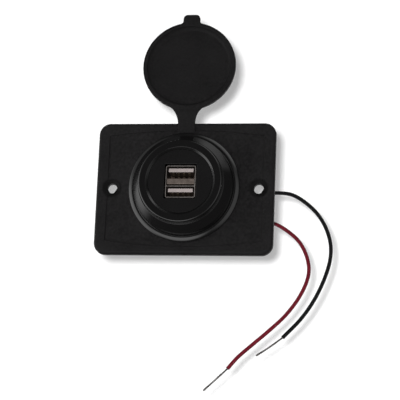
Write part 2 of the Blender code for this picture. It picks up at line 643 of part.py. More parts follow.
def dust_cap(materials, cap_fold):
    lip = LIP_FACE
    back = lip + CAP_THICKNESS
    disc = [
        (0.0, back),
        (CAP_RADIUS - 2.4 * CAP_EDGE, back),
        (CAP_RADIUS - 1.6 * CAP_EDGE, back - CAP_EDGE * 0.4),
        (CAP_RADIUS, lip + CAP_EDGE * 1.2),
        (CAP_RADIUS, lip + CAP_EDGE * 0.4),
        (CAP_RADIUS - CAP_EDGE * 0.4, lip),
        (0.0, lip),
    ]
    cap = turned("dust_cap", disc, closed=False)
    cap.location.z = FOLD_TO_CENTRE

    outline = strap_outline(-TONGUE_OVERLAP, flare_top(), 8)
    rooted = [(x * 0.9, z + CAP_EDGE) for x, z in (outline[8], outline[9])]
    tongue = flat_solid("cap_tongue", [outline[:9] + rooted + outline[9:]], RUBBER)
    tongue.location.y = FOLD_RADIUS

    half = TAB_WIDTH / 2
    tab_top = FOLD_TO_CENTRE + CAP_RADIUS + TAB_LENGTH
    tab_low = FOLD_TO_CENTRE + CAP_RECESS_RADIUS + CAP_EDGE
    corner_z = tab_top - TAB_CORNER
    foot = FOLD_TO_CENTRE + CAP_RADIUS - CAP_EDGE
    tab_outline = [(-half, tab_low), (half, tab_low), (half + CAP_EDGE, foot), (half, foot + 1.5 * CAP_EDGE)]
    tab_outline += arc((half - TAB_CORNER, corner_z), TAB_CORNER, 0, 90, 4)
    tab_outline += arc((TAB_CORNER - half, corner_z), TAB_CORNER, 90, 180, 4)
    tab_outline += [(-half, foot + 1.5 * CAP_EDGE), (-half - CAP_EDGE, foot)]
    tab = flat_solid("cap_tab", [tab_outline], TAB_THICKNESS)
    tab.location.y = STRAP_FACE + TAB_THICKNESS / 2

    recess = turned(
        "cap_recess",
        [
            (0.0, lip + CAP_RECESS),
            (CAP_FLOOR_RADIUS, lip + CAP_RECESS),
            (CAP_FLOOR_RADIUS + CAP_EDGE * 1.2, lip + CAP_RECESS * 0.8),
            (CAP_RECESS_RADIUS - CAP_LIP, lip + CAP_RECESS * 0.4),
            (CAP_RECESS_RADIUS, lip),
            (CAP_RECESS_RADIUS, lip - CAP_RECESS),
            (0.0, lip - CAP_RECESS),
        ],
        closed=False,
    )
    recess.location.z = FOLD_TO_CENTRE
    for piece in (tongue, tab):
        boolean(cap, as_cutter(piece, cap_fold), "UNION")
    boolean(cap, as_cutter(recess, cap_fold))
    finish(cap, materials["rubber"], cap_fold)


def front_insert(materials):
    inner = INSERT_RADIUS - INSERT_WALL
    profile = [
        (0.0, INSERT_FRONT + INSERT_WALL),
        (inner, INSERT_FRONT + INSERT_WALL),
        (inner, INSERT_REAR),
        (INSERT_RADIUS, INSERT_REAR),
        (INSERT_RADIUS, INSERT_FRONT),
        (0.0, INSERT_FRONT),
    ]
    insert = turned("front_insert", profile, closed=False)
    half = Vector((CONNECTOR_WIDTH / 2 + APERTURE_MARGIN, 0.0, CONNECTOR_HEIGHT / 2 + APERTURE_MARGIN))
    low = (-half.x, INSERT_FRONT - INSERT_WALL, -half.z)
    high = (half.x, INSERT_FRONT + 2 * INSERT_WALL, half.z)
    boolean(insert, as_cutter(block("aperture_cutter", low, high, CONNECTOR_CORNER)))
    finish(insert, materials["face"])


def port_levels():
    """The floor and ceiling of the upper and of the lower cavity in the connector's shell."""
    top = CONNECTOR_HEIGHT / 2 - SHELL_WALL
    low = -top
    middle = low + LOWER_PORT_HEIGHT
    return {"lower": (low, middle), "upper": (middle + SHELL_WALL, top)}


def tongue_levels():
    return [(ceiling - TONGUE_TOP_GAP - TONGUE_THICKNESS, ceiling - TONGUE_TOP_GAP) for _, ceiling in port_levels().values()]


def usb_shell(materials):
    half_x, half_z = CONNECTOR_WIDTH / 2, CONNECTOR_HEIGHT / 2
    low, high = (-half_x, CONNECTOR_FRONT, -half_z), (half_x, CONNECTOR_REAR, half_z)
    shell = block("usb_shell", low, high, CONNECTOR_CORNER)
    insulator_front = CONNECTOR_REAR - INSULATOR_DEPTH
    inner = half_x - SHELL_WALL
    corner = CONNECTOR_CORNER - SHELL_WALL
    for name, (floor, ceiling) in port_levels().items():
        start = (-inner, CONNECTOR_FRONT - INSULATOR_DEPTH, floor)
        end = (inner, insulator_front, ceiling)
        boolean(shell, as_cutter(block(f"{name}_port_cutter", start, end, corner)))
    rear_low = (-inner, insulator_front - GAP, SHELL_WALL - half_z)
    rear_high = (inner, CONNECTOR_REAR + INSULATOR_DEPTH, half_z - SHELL_WALL)
    boolean(shell, as_cutter(block("shell_rear_cutter", rear_low, rear_high, corner)))
    finish(shell, materials["shell"])


def usb_divider(materials):
    """A folded channel that closes the space between the ports, with its web to the front."""
    floor, ceiling = port_levels()["upper"]
    top = ceiling - UPPER_PORT_HEIGHT
    front = CONNECTOR_FRONT + GAP
    rear = front + DIVIDER_DEPTH
    half = CONNECTOR_WIDTH / 2 - SHELL_WALL - GAP
    divider = block("usb_divider", (-half, front, top - DIVIDER_HEIGHT), (half, rear, top), GAP, "X")
    inside_low = (-CONNECTOR_WIDTH, front + SHELL_WALL, top - DIVIDER_HEIGHT + SHELL_WALL)
    inside_high = (CONNECTOR_WIDTH, rear + DIVIDER_DEPTH, top - SHELL_WALL)
    boolean(divider, as_cutter(block("divider_cutter", inside_low, inside_high)))
    finish(divider, materials["shell"])


def usb_insulator(materials):
    half_x = CONNECTOR_WIDTH / 2 - SHELL_WALL - GAP
    half_z = CONNECTOR_HEIGHT / 2 - SHELL_WALL - GAP
    front = CONNECTOR_REAR - INSULATOR_DEPTH + GAP
    insulator = block("usb_insulator", (-half_x, front, -half_z), (half_x, CONNECTOR_REAR - GAP, half_z))
    tongue_half = TONGUE_WIDTH / 2
    for i, (low, high) in enumerate(tongue_levels()):
        start = (-tongue_half, CONNECTOR_FRONT + TONGUE_SINK, low)
        end = (tongue_half, CONNECTOR_REAR - 2 * GAP, high)
        tongue = block(f"tongue_{i + 1}", start, end, TONGUE_THICKNESS / 6, "X")
        boolean(insulator, as_cutter(tongue), "UNION")
    for i, (low, high) in enumerate(tongue_levels()):
        for j, x in enumerate(contact_places()):
            reach = CONTACT_WIDTH / 2 + GAP / 2
            start = (x - reach, front - INSULATOR_DEPTH, low - 1.5 * GAP - CONTACT_THICKNESS)
            end = (x + reach, CONNECTOR_REAR + INSULATOR_DEPTH, low)
            slot = block(f"contact_slot_{i + 1}_{j + 1}", start, end)
            slot.location.y += INSULATOR_DEPTH / 2
            boolean(insulator, as_cutter(slot))
    finish(insulator, materials["insulator"])


def contact_places():
    return [CONTACT_PITCH * (i - 1.5) for i in range(4)]


def usb_contacts(materials):
    """Sprung fingers under each tongue. They run through the insulator and down behind it to the board."""
    for row, (low, _) in zip(("lower", "upper"), tongue_levels()):
        top = low - GAP / 2
        bottom = top - CONTACT_THICKNESS
        front = CONNECTOR_FRONT + TONGUE_SINK + CONTACT_SETBACK
        wall = CONNECTOR_REAR - INSULATOR_DEPTH
        crest = front + (wall - front) * 0.35
        rear = CONNECTOR_REAR + (LEG_ROW_PITCH if row == "lower" else 2 * LEG_ROW_PITCH)
        foot = BOARD_TOP + GAP
        outline = [
            (front, top),
            (front, bottom),
            (crest - CONTACT_RISE, bottom - CONTACT_RISE),
            (crest + CONTACT_RISE, bottom - CONTACT_RISE),
            (wall - CONTACT_RISE, bottom),
            (rear - CONTACT_THICKNESS, bottom),
            (rear - CONTACT_THICKNESS, foot),
            (rear, foot),
            (rear, top),
            (wall - CONTACT_RISE, top),
            (crest + CONTACT_RISE, top - CONTACT_RISE),
            (crest - CONTACT_RISE, top - CONTACT_RISE),
        ]
        for i, x in enumerate(contact_places()):
            contact = flat_solid(f"usb_contact_{row}_{i + 1}", [outline], CONTACT_WIDTH)
            contact.rotation_euler = (math.pi / 2, 0.0, math.pi / 2)
            contact.location.x = x
            finish(contact, materials["contact"])


def main_board(materials):
    low = (-BOARD_HALF_WIDTH, BOARD_START, BOARD_TOP - BOARD_THICKNESS)
    board = block("main_board", low, (BOARD_HALF_WIDTH, BOARD_END, BOARD_TOP), 2 * GAP, "Z")
    finish(board, materials["board"])


def stand_on_board(obj, x, y):
    """Turns a piece that was made along Y upright, with its foot just over the board."""
    obj.rotation_euler = (0.0, 0.0, 0.0)
    obj.location = (x, y, BOARD_TOP + GAP)
    return obj


def can(name, size, material, x, y):
    radius, height = size
    groove = height * 0.12
    profile = [
        (0.0, height),
        (radius - CAN_GROOVE, height),
        (radius, height - CAN_GROOVE),
        (radius, groove + CAN_GROOVE),
        (radius - CAN_GROOVE, groove),
        (radius, groove - CAN_GROOVE),
        (radius, 0.0),
        (0.0, 0.0),
    ]
    finish(stand_on_board(turned(name, profile, SMALL_CIRCLE_STEPS, False), x, y), material)


def inductor(materials, x, y):
    shoulder = INDUCTOR_HEIGHT - INDUCTOR_FLANGE
    core = [
        (0.0, INDUCTOR_HEIGHT),
        (INDUCTOR_RADIUS, INDUCTOR_HEIGHT),
        (INDUCTOR_RADIUS, shoulder),
        (INDUCTOR_WAIST, shoulder),
        (INDUCTOR_WAIST, INDUCTOR_FLANGE),
        (INDUCTOR_RADIUS, INDUCTOR_FLANGE),
        (INDUCTOR_RADIUS, 0.0),
        (0.0, 0.0),
    ]
    outside = INDUCTOR_RADIUS - GAP
    winding = [
        (outside - GAP, shoulder - GAP),
        (outside, shoulder - 2 * GAP),
        (outside, INDUCTOR_FLANGE + 2 * GAP),
        (outside - GAP, INDUCTOR_FLANGE + GAP),
        (INDUCTOR_WAIST + GAP, INDUCTOR_FLANGE + GAP),
        (INDUCTOR_WAIST + GAP, shoulder - GAP),
    ]
    core_solid = turned("inductor_core", core, SMALL_CIRCLE_STEPS, False)
    finish(stand_on_board(core_solid, x, y), materials["ferrite"])
    coil_solid = turned("inductor_winding", winding, SMALL_CIRCLE_STEPS)
    finish(stand_on_board(coil_solid, x, y), materials["copper"])


def chip(name, size, x, y, material):
    """A moulded package with its feet as a low ledge on two sides."""
    half_x, half_y, height = size[0] / 2, size[1] / 2, size[2]
    foot = BOARD_TOP + GAP
    body = block(name, (x - half_x, y - half_y, foot), (x + half_x, y + half_y, foot + height), GAP, "X")
    ledge_low = (x - half_x - CHIP_FOOT, y - half_y + GAP, foot)
    ledge_high = (x + half_x + CHIP_FOOT, y + half_y - GAP, foot + CHIP_FOOT_HEIGHT)
    boolean(body, as_cutter(block(f"{name}_feet", ledge_low, ledge_high)), "UNION")
    finish(body, material)


def board_parts(materials):
    """Two rows along the board's sides, each piece one space behind the last, from the connector's legs back."""
    side = BOARD_HALF_WIDTH - BOARD_MARGIN
    start = CONNECTOR_REAR + 2 * LEG_ROW_PITCH + LEG_SPACE

    inductor_y = start + INDUCTOR_RADIUS
    radius = OUTPUT_CAPACITOR[0]
    output_y = inductor_y + INDUCTOR_RADIUS + PART_SPACE + radius
    charge_y = output_y + radius + PART_SPACE + CHARGE_CHIP[1] / 2
    inductor(materials, INDUCTOR_RADIUS - side, inductor_y)
    can("output_capacitor", OUTPUT_CAPACITOR, materials["can"], radius - side, output_y)
    chip("charge_chip", CHARGE_CHIP, CHARGE_CHIP[0] / 2 + CHIP_FOOT - side, charge_y, materials["chip"])

    diode_y = start + DIODE_SIZE[1] / 2
    converter_y = diode_y + (DIODE_SIZE[1] + CONVERTER_CHIP[1]) / 2 + PART_SPACE
    radius = INPUT_CAPACITOR[0]
    input_y = converter_y + CONVERTER_CHIP[1] / 2 + PART_SPACE + radius
    chip("rectifier_diode", DIODE_SIZE, side - DIODE_SIZE[0] / 2 - CHIP_FOOT, diode_y, materials["chip"])
    chip("converter_chip", CONVERTER_CHIP, side - CONVERTER_CHIP[0] / 2 - CHIP_FOOT, converter_y, materials["chip"])
    can("input_capacitor", INPUT_CAPACITOR, materials["can"], side - radius, input_y)

    foot, end = BOARD_TOP + GAP, BOARD_END - BOARD_MARGIN
    low = (side - FUSE_SIZE[0], end - FUSE_SIZE[1], foot)
    finish(block("input_fuse", low, (side, end, foot + FUSE_SIZE[2]), 3 * GAP, "X"), materials["fuse"])


def rear_cap(materials):
    hole = GROMMET_NECK + GAP
    inner = SPIGOT_RADIUS - REAR_SPIGOT_WALL
    profile = [
        (BARREL_RADIUS - BARREL_CHAMFER, REAR_PLATE_REAR),
        (BARREL_RADIUS, REAR_PLATE_REAR - BARREL_CHAMFER),
        (BARREL_RADIUS, REAR_PLATE_FRONT),
        (SPIGOT_RADIUS, REAR_PLATE_FRONT),
        (SPIGOT_RADIUS, SPIGOT_FRONT),
        (inner, SPIGOT_FRONT),
        (inner, REAR_PLATE_FRONT),
        (hole, REAR_PLATE_FRONT),
        (hole, REAR_PLATE_REAR),
    ]
    finish(turned("rear_cap", profile), materials["face"])


def wire_grommet(materials):
    flange = GROMMET_NECK + GROMMET_LIP
    inside = REAR_PLATE_FRONT - GAP
    outside = REAR_PLATE_REAR + GAP
    profile = [
        (0.0, GROMMET_REAR),
        (GROMMET_NOSE_RADIUS, GROMMET_REAR),
        (GROMMET_NECK + GAP, outside + GROMMET_FLANGE),
        (flange, outside + GROMMET_FLANGE),
        (flange, outside),
        (GROMMET_NECK, outside),
        (GROMMET_NECK, inside),
        (flange, inside),
        (flange - GAP, inside - GROMMET_FLANGE),
        (0.0, inside - GROMMET_FLANGE),
    ]
    grommet = turned("wire_grommet", profile, SMALL_CIRCLE_STEPS, False)
    places = [(0.0, LEAD_SPACING / 2), (0.0, -LEAD_SPACING / 2)]
    start, end = SPIGOT_FRONT, GROMMET_REAR + GROMMET_NOSE
    boolean(grommet, rods("lead_holes", places, LEAD_RADIUS + GAP, start, end, 12))
    finish(grommet, materials["rubber"])


def leads(materials):
    """Each lead is one tube outside the socket, its stripped end, and the stretch inside up to the board."""
    plans = [
        ("black", BLACK_ROUTE, BLACK_TIP, LEAD_SPACING / 2, -PAD_PITCH / 2),
        ("red", RED_ROUTE, RED_TIP, -LEAD_SPACING / 2, PAD_PITCH / 2),
    ]
    for name, route, tip, height, pad_x in plans:
        exit_point = Vector((0.0, GROMMET_REAR, height))
        path = smooth_path([exit_point + Vector(p) * MM for p in route], LEAD_STEP)
        finish(tube(f"{name}_lead", path, LEAD_RADIUS), materials[f"{name}_wire"])

        ends = [exit_point + Vector(p) * MM for p in tip]
        ends[0] += (ends[1] - ends[0]).normalized() * GAP
        strands = tube(f"{name}_lead_tip", smooth_path(ends, 2 * TIP_STEP), TIP_RADIUS)
        finish(strands, materials["tinned_wire"])

        pad_y = BOARD_END - PAD_SETBACK
        pad_z = BOARD_TOP + GAP
        inner = [
            exit_point,
            (0.0, GROMMET_FRONT, height),
            (pad_x / 2, pad_y + LEAD_BEND, height),
            (pad_x, pad_y + LEAD_BEND / 4, height - LEAD_BEND / 2),
            (pad_x, pad_y, (height + pad_z) / 2),
            (pad_x, pad_y, pad_z),
        ]
        path = smooth_path(inner, INNER_LEAD_STEP)
        finish(tube(f"{name}_lead_inside", path, LEAD_RADIUS), materials[f"{name}_wire"])


def main():
    clear_scene()
    materials = make_materials()
    root_fold = axis_empty("strap_fold_axis", (0.0, FOLD_Y, ROOT_FOLD_HEIGHT), (STRAP_LEAN, 0.0, 0.0))
    cap_fold = axis_empty("cap_fold_axis", (0.0, 0.0, STRAP_LENGTH), (-STRAP_LEAN - CAP_LEAN, 0.0, 0.0), root_fold)
    mounting_plate(materials)
    socket_body(materials)
    ring_nut(materials)
    cap_ring(materials)
    cap_strap(materials, root_fold)
    dust_cap(materials, cap_fold)
    front_insert(materials)
    usb_shell(materials)
    usb_divider(materials)
    usb_insulator(materials)
    usb_contacts(materials)
    main_board(materials)
    board_parts(materials)
    rear_cap(materials)
    wire_grommet(materials)
    leads(materials)
    for obj in bpy.data.collections[PARTS].objects:
        if obj.type == "MESH" and "turn" not in obj.modifiers:
            smooth(obj.data)


main()
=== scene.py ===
import math

import bpy
from mathutils import Matrix, Vector


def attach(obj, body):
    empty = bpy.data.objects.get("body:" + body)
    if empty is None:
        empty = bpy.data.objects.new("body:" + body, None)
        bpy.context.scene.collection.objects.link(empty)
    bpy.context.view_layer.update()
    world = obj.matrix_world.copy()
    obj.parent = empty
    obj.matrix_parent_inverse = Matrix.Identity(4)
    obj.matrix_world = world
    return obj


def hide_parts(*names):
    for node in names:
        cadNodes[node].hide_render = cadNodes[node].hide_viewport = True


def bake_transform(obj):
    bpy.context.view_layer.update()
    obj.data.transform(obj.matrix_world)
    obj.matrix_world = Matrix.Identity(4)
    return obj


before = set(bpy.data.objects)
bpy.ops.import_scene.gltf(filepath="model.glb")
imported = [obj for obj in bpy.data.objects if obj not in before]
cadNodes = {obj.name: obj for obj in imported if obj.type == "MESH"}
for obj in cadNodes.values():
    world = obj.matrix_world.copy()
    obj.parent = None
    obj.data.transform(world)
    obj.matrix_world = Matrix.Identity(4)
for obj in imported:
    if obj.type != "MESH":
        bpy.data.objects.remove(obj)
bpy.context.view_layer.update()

mm = 0.001
cutterReach = 2  # mm that a cutter stands out of what it cuts
bpy.context.tool_settings.mesh_select_mode = (False, True, False)  # edges


def clearSelection():
    if bpy.context.object and bpy.context.object.mode != "OBJECT":
        bpy.ops.object.mode_set(mode="OBJECT")
    bpy.ops.object.select_all(action="DESELECT")


def namePiece(name):
    piece = bpy.context.object
    piece.name = name
    piece.data.name = name
    return piece


def focusOn(piece):
    clearSelection()
    piece.select_set(True)
    bpy.context.view_layer.objects.active = piece


def applyPlace(piece):
    focusOn(piece)
    bpy.ops.object.transform_apply(location=True, rotation=True, scale=True)


def applyModifier(piece, kind, **settings):
    focusOn(piece)
    step = piece.modifiers.new(kind.title(), kind)
    for key, value in settings.items():
        setattr(step, key, value)
    bpy.ops.object.modifier_apply(modifier=step.name)


def cutWith(piece, cutter):
    applyModifier(piece, "BOOLEAN", object=cutter, operation="DIFFERENCE", solver="EXACT")
    bpy.data.objects.remove(cutter, do_unlink=True)


def near(a, b, reach=0.01):
    return abs(a - b) < reach


def selectEdges(piece, test):
    # edges whose two ends pass the test, picked while in edit mode
    bpy.ops.mesh.select_all(action="DESELECT")
    bpy.ops.object.mode_set(mode="OBJECT")
    mesh = piece.data
    for edge in mesh.edges:
        ends = [mesh.vertices[i].co / mm for i in edge.vertices]
        edge.select = test(*ends)
    bpy.ops.object.mode_set(mode="EDIT")


def bevelSelected(offset, segments):
    bpy.ops.mesh.bevel(offset=offset * mm, segments=segments, profile=0.5, affect="EDGES")


def joinPieces(pieces, name):
    clearSelection()
    for piece in pieces:
        piece.select_set(True)
    bpy.context.view_layer.objects.active = pieces[0]
    bpy.ops.object.join()
    return namePiece(name)


def smoothShade(piece, degrees, level=False):
    focusOn(piece)
    bpy.ops.object.shade_smooth_by_angle(angle=math.radians(degrees))
    if level:
        # broad flat faces stay flat beside their rounded edges
        applyModifier(piece, "WEIGHTED_NORMAL", keep_sharp=True, weight=100)


def arcPoints(centreX, centreY, radius, start, end, steps):
    turns = [math.radians(start + (end - start) * i / steps) for i in range(steps + 1)]
    return [(centreX + radius * math.cos(a), centreY + radius * math.sin(a)) for a in turns]


def roundProfile(points, steps=4):
    # each point may carry a third number, the radius that its corner is rounded to
    out = []
    for i, point in enumerate(points):
        here = Vector(point[:2])
        radius = point[2] if len(point) > 2 else 0
        if radius == 0 or i in (0, len(points) - 1):
            out.append(tuple(here))
            continue
        before = (Vector(points[i - 1][:2]) - here).normalized()
        after = (Vector(points[i + 1][:2]) - here).normalized()
        half = before.angle(after) / 2
        reach = radius / math.tan(half)
        start, end = here + before * reach, here + after * reach
        centre = here + (before + after).normalized() * (radius / math.sin(half))
        for k in range(steps + 1):
            blend = start.lerp(end, k / steps) - centre
            out.append(tuple(centre + blend.normalized() * radius))
    return out


def turnRings(name, rings, sides, closed=False, fillEnds=False, centreZ=0.0):
    # a lathe by hand: one circle, extruded and resized ring after ring along the socket's axis
    clearSelection()
    radius, depth = rings[0]
    bpy.ops.mesh.primitive_circle_add(
        vertices=sides, radius=radius * mm,
        location=(0, depth * mm, centreZ * mm), rotation=(math.pi / 2, 0, 0)
    )
    piece = namePiece(name)
    bpy.ops.object.mode_set(mode="EDIT")
    bpy.ops.mesh.select_all(action="SELECT")
    todo = list(rings[1:]) + ([rings[0]] if closed else [])
    for nextRadius, nextDepth in todo:
        bpy.ops.mesh.extrude_region_move(TRANSFORM_OT_translate={"value": (0, (nextDepth - depth) * mm, 0)})
        grow = nextRadius / radius
        if not near(grow, 1, 1e-7):
            bpy.ops.transform.resize(value=(grow, 1, grow), center_override=(0, nextDepth * mm, centreZ * mm))
        radius, depth = nextRadius, nextDepth
    if fillEnds:
        bpy.ops.mesh.select_all(action="DESELECT")
        bpy.ops.mesh.select_non_manifold()
        bpy.ops.mesh.edge_face_add()
    bpy.ops.mesh.select_all(action="SELECT")
    bpy.ops.mesh.remove_doubles(threshold=1e-6)
    bpy.ops.mesh.normals_make_consistent(inside=False)
    bpy.ops.object.mode_set(mode="OBJECT")
    applyPlace(piece)
    return piece


def addRod(name, x, z, radius, front, rear, sides=48, frontRadius=None):
    clearSelection()
    bpy.ops.mesh.primitive_cone_add(
        vertices=sides, radius1=(frontRadius or radius) * mm, radius2=radius * mm, depth=(rear - front) * mm,
        location=(x * mm, (front + rear) / 2 * mm, z * mm), rotation=(-math.pi / 2, 0, 0)
    )
    piece = namePiece(name)
    applyPlace(piece)
    return piece


def addBox(name, low, high):
    clearSelection()
    middle = [(a + b) / 2 * mm for a, b in zip(low, high)]
    size = [(b - a) * mm for a, b in zip(low, high)]
    bpy.ops.mesh.primitive_cube_add(size=1, location=middle, scale=size)
    piece = namePiece(name)
    applyPlace(piece)
    return piece


# low and a little to the right, with a long lens; angles in degrees, distance in metres, lens in mm
cameraSettings = {
    "azimuth": 9.271, "elevation": -13.730, "roll": 2.351,
    "distance": 0.78264, "lens": 156.17, "target": (6.707 * mm, 0, -4.717 * mm),
}


def aimCamera(settings):
    a, e, r = (math.radians(settings[k]) for k in ("azimuth", "elevation", "roll"))
    back = Vector((math.sin(a) * math.cos(e), -math.cos(a) * math.cos(e), math.sin(e)))
    right = Vector((math.cos(a), math.sin(a), 0))
    up = back.cross(right)
    turnedRight = right * math.cos(r) + up * math.sin(r)
    turnedUp = up * math.cos(r) - right * math.sin(r)
    place = Vector(settings["target"]) + back * settings["distance"]
    camera = bpy.data.objects.new("photoCamera", bpy.data.cameras.new("photoCamera"))
    bpy.context.scene.collection.objects.link(camera)
    camera.data.sensor_width = 36
    camera.data.lens = settings["lens"]
    camera.data.clip_start = 0.05
    camera.data.clip_end = 20
    turn = Matrix((turnedRight, turnedUp, back)).transposed().to_4x4()
    camera.matrix_world = Matrix.Translation(place) @ turn
    bpy.context.scene.camera = camera


aimCamera(cameraSettings)
bpy.context.scene.view_settings.view_transform = "Standard"
print("camera set")


# two bare-ended wires leave the grommet; their points are steps from that exit, in mm
leadSettings = {
    "exitY": 44.0, "diameter": 1.8, "step": 1.2, "sides": 6, "heights": {"black": 1.5, "red": -1.5},
    # the bare strands round a middle one: their twist, how far out they lie, how they wave and fray
    "strands": 6, "strandRadius": 0.17, "strandSides": 1, "strandStep": 0.5, "strandTurns": 1.6,
    "strandReach": 1.75, "wave": 0.12, "waveTurn": 9, "waveShift": 2.1, "fray": 0.5, "frayFrom": 0.85,
    "black": [
        (0.0, 0.3, 0.0), (0.3, 3.4, 0.1), (2.6, 7.2, 0.6), (7.4, 9.6, 1.8), (14.0, 9.2, 3.6),
        (21.0, 5.8, 5.2), (27.5, 0.4, 6.2), (33.0, -4.8, 6.5), (38.6, -9.0, 5.9), (45.6, -11.1, 4.2),
        (53.0, -12.2, -0.9), (58.5, -13.3, -7.1), (62.3, -14.4, -14.7), (63.9, -15.5, -22.8),
        (62.7, -16.5, -32.1), (58.2, -17.6, -44.1), (51.8, -18.7, -54.8), (43.3, -20.2, -64.5),
    ],
    "blackTip": [(43.3, -20.2, -64.5), (37.4, -21.2, -69.2), (31.7, -22.0, -73.2)],
    "red": [
        (0.0, 0.3, 0.0), (0.3, 3.2, -0.1), (2.6, 6.4, -0.4), (7.6, 8.2, -0.9), (14.2, 7.0, -1.6),
        (21.0, 3.6, -2.3), (27.2, -1.2, -3.2), (32.5, -5.8, -4.4), (37.4, -9.6, -6.3), (42.8, -11.3, -9.7),
        (48.3, -12.4, -14.6), (52.0, -13.5, -20.8), (53.9, -14.7, -28.2), (53.0, -15.9, -35.1),
        (49.5, -17.1, -43.1), (44.0, -18.3, -51.0), (37.3, -19.5, -57.9), (29.3, -20.7, -65.3),
        (23.3, -21.8, -71.0), (19.0, -22.8, -76.4),
    ],
    "redTip": [(19.0, -22.8, -76.4), (13.8, -23.5, -81.6), (8.4, -24.0, -86.8)],
}


def smoothRoute(points, step):
    # points about one step apart on the curve that runs smoothly through the route
    points = [Vector(p) for p in points]
    ends = [points[0] * 2 - points[1], *points, points[-1] * 2 - points[-2]]
    fine, parts = [points[0]], 16
    for a, b, c, d in zip(ends, ends[1:], ends[2:], ends[3:]):
        square, cube = a * 2 - b * 5 + c * 4 - d, b * 3 - a - c * 3 + d
        for i in range(1, parts + 1):
            t = i / parts
            fine.append((b * 2 + (c - a) * t + square * t**2 + cube * t**3) / 2)
    lengths = [0.0]
    for a, b in zip(fine, fine[1:]):
        lengths.append(lengths[-1] + (b - a).length)
    count = max(2, round(lengths[-1] / step))
    path, at = [], 0
    for i in range(count + 1):
        wanted = lengths[-1] * i / count
        while at < len(fine) - 2 and lengths[at + 1] < wanted:
            at += 1
        share = (wanted - lengths[at]) / (lengths[at + 1] - lengths[at])
        path.append(fine[at].lerp(fine[at + 1], share))
    return path, lengths[-1]


def drawWire(name, paths, radius, sides):
    curve = bpy.data.curves.new(name, "CURVE")
    curve.dimensions = "3D"
    curve.bevel_depth = radius
    curve.bevel_resolution = sides
    curve.use_fill_caps = True
    for path in paths:
        spline = curve.splines.new("POLY")
        spline.points.add(len(path) - 1)
        for point, place in zip(spline.points, path):
            point.co = (*place, 1.0)
        spline.use_smooth = True
    wire = bpy.data.objects.new(name, curve)
    bpy.context.scene.collection.objects.link(wire)
    focusOn(wire)
    bpy.ops.object.convert(target="MESH")
    wire = bpy.context.object
    smoothShade(wire, 50)
    return wire


def makeStrands(name, tip, settings):
    # one tinned strand in the middle and the others twisted round it, cut unevenly
    path, _ = smoothRoute(tip, settings["strandStep"] * mm)
    ring = settings["strandRadius"] * settings["strandReach"] * mm
    strands = [path]
    for k in range(settings["strands"]):
        strand = []
        for i, place in enumerate(path):
            ahead = path[min(i + 1, len(path) - 1)] - path[max(i - 1, 0)]
            along = ahead.normalized()
            side = along.cross(Vector((0, 1, 0))).normalized()
            other = along.cross(side)
            share = i / (len(path) - 1)
            turn = math.tau * (k / settings["strands"] + settings["strandTurns"] * share)
            wave = 1 + settings["wave"] * math.sin(share * settings["waveTurn"] + k * settings["waveShift"])
            fray = 1 + settings["fray"] * max(0, share - settings["frayFrom"])
            outwards = side * math.cos(turn) + other * math.sin(turn)
            strand.append(place + outwards * (ring * wave * fray))
        strands.append(strand[: len(strand) - (k * 2) % 3])
    return drawWire(name, strands, settings["strandRadius"] * mm, settings["strandSides"])


leadPieces = {}
for colour, height in leadSettings["heights"].items():
    exitPoint = Vector((0, leadSettings["exitY"], height)) * mm
    route = [exitPoint + Vector(p) * mm for p in leadSettings[colour]]
    path, length = smoothRoute(route, leadSettings["step"] * mm)
    lead = drawWire(colour + "Lead", [path], leadSettings["diameter"] / 2 * mm, leadSettings["sides"])
    tip = [exitPoint + Vector(p) * mm for p in leadSettings[colour + "Tip"]]
    strands = makeStrands(colour + "LeadStrands", tip, leadSettings)
    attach(lead, "socket")
    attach(strands, "socket")
    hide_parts(colour + "_lead")
    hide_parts(colour + "_lead_tip")
    leadPieces[colour] = (lead, strands)
print("leads laid")


plateSettings = {
    "width": 81.3, "height": 61.0, "thickness": 3.6, "corner": 5.2, "edge": 1.5, "rearEdge": 0.15,
    "panelWidth": 70.9, "panelHeight": 48.8, "panelBow": 2.5, "panelDepth": 0.5, "panelEdge": 0.34,
    "panelCuts": 31, "holeX": 33.5, "holeRadius": 2.25, "sinkRadius": 4.4, "sinkDepth": 1.5,
    "barrelHole": 14.559, "seatRadius": 20.309, "seatDepth": 0.5, "sides": 96, "smooth": 30,
}


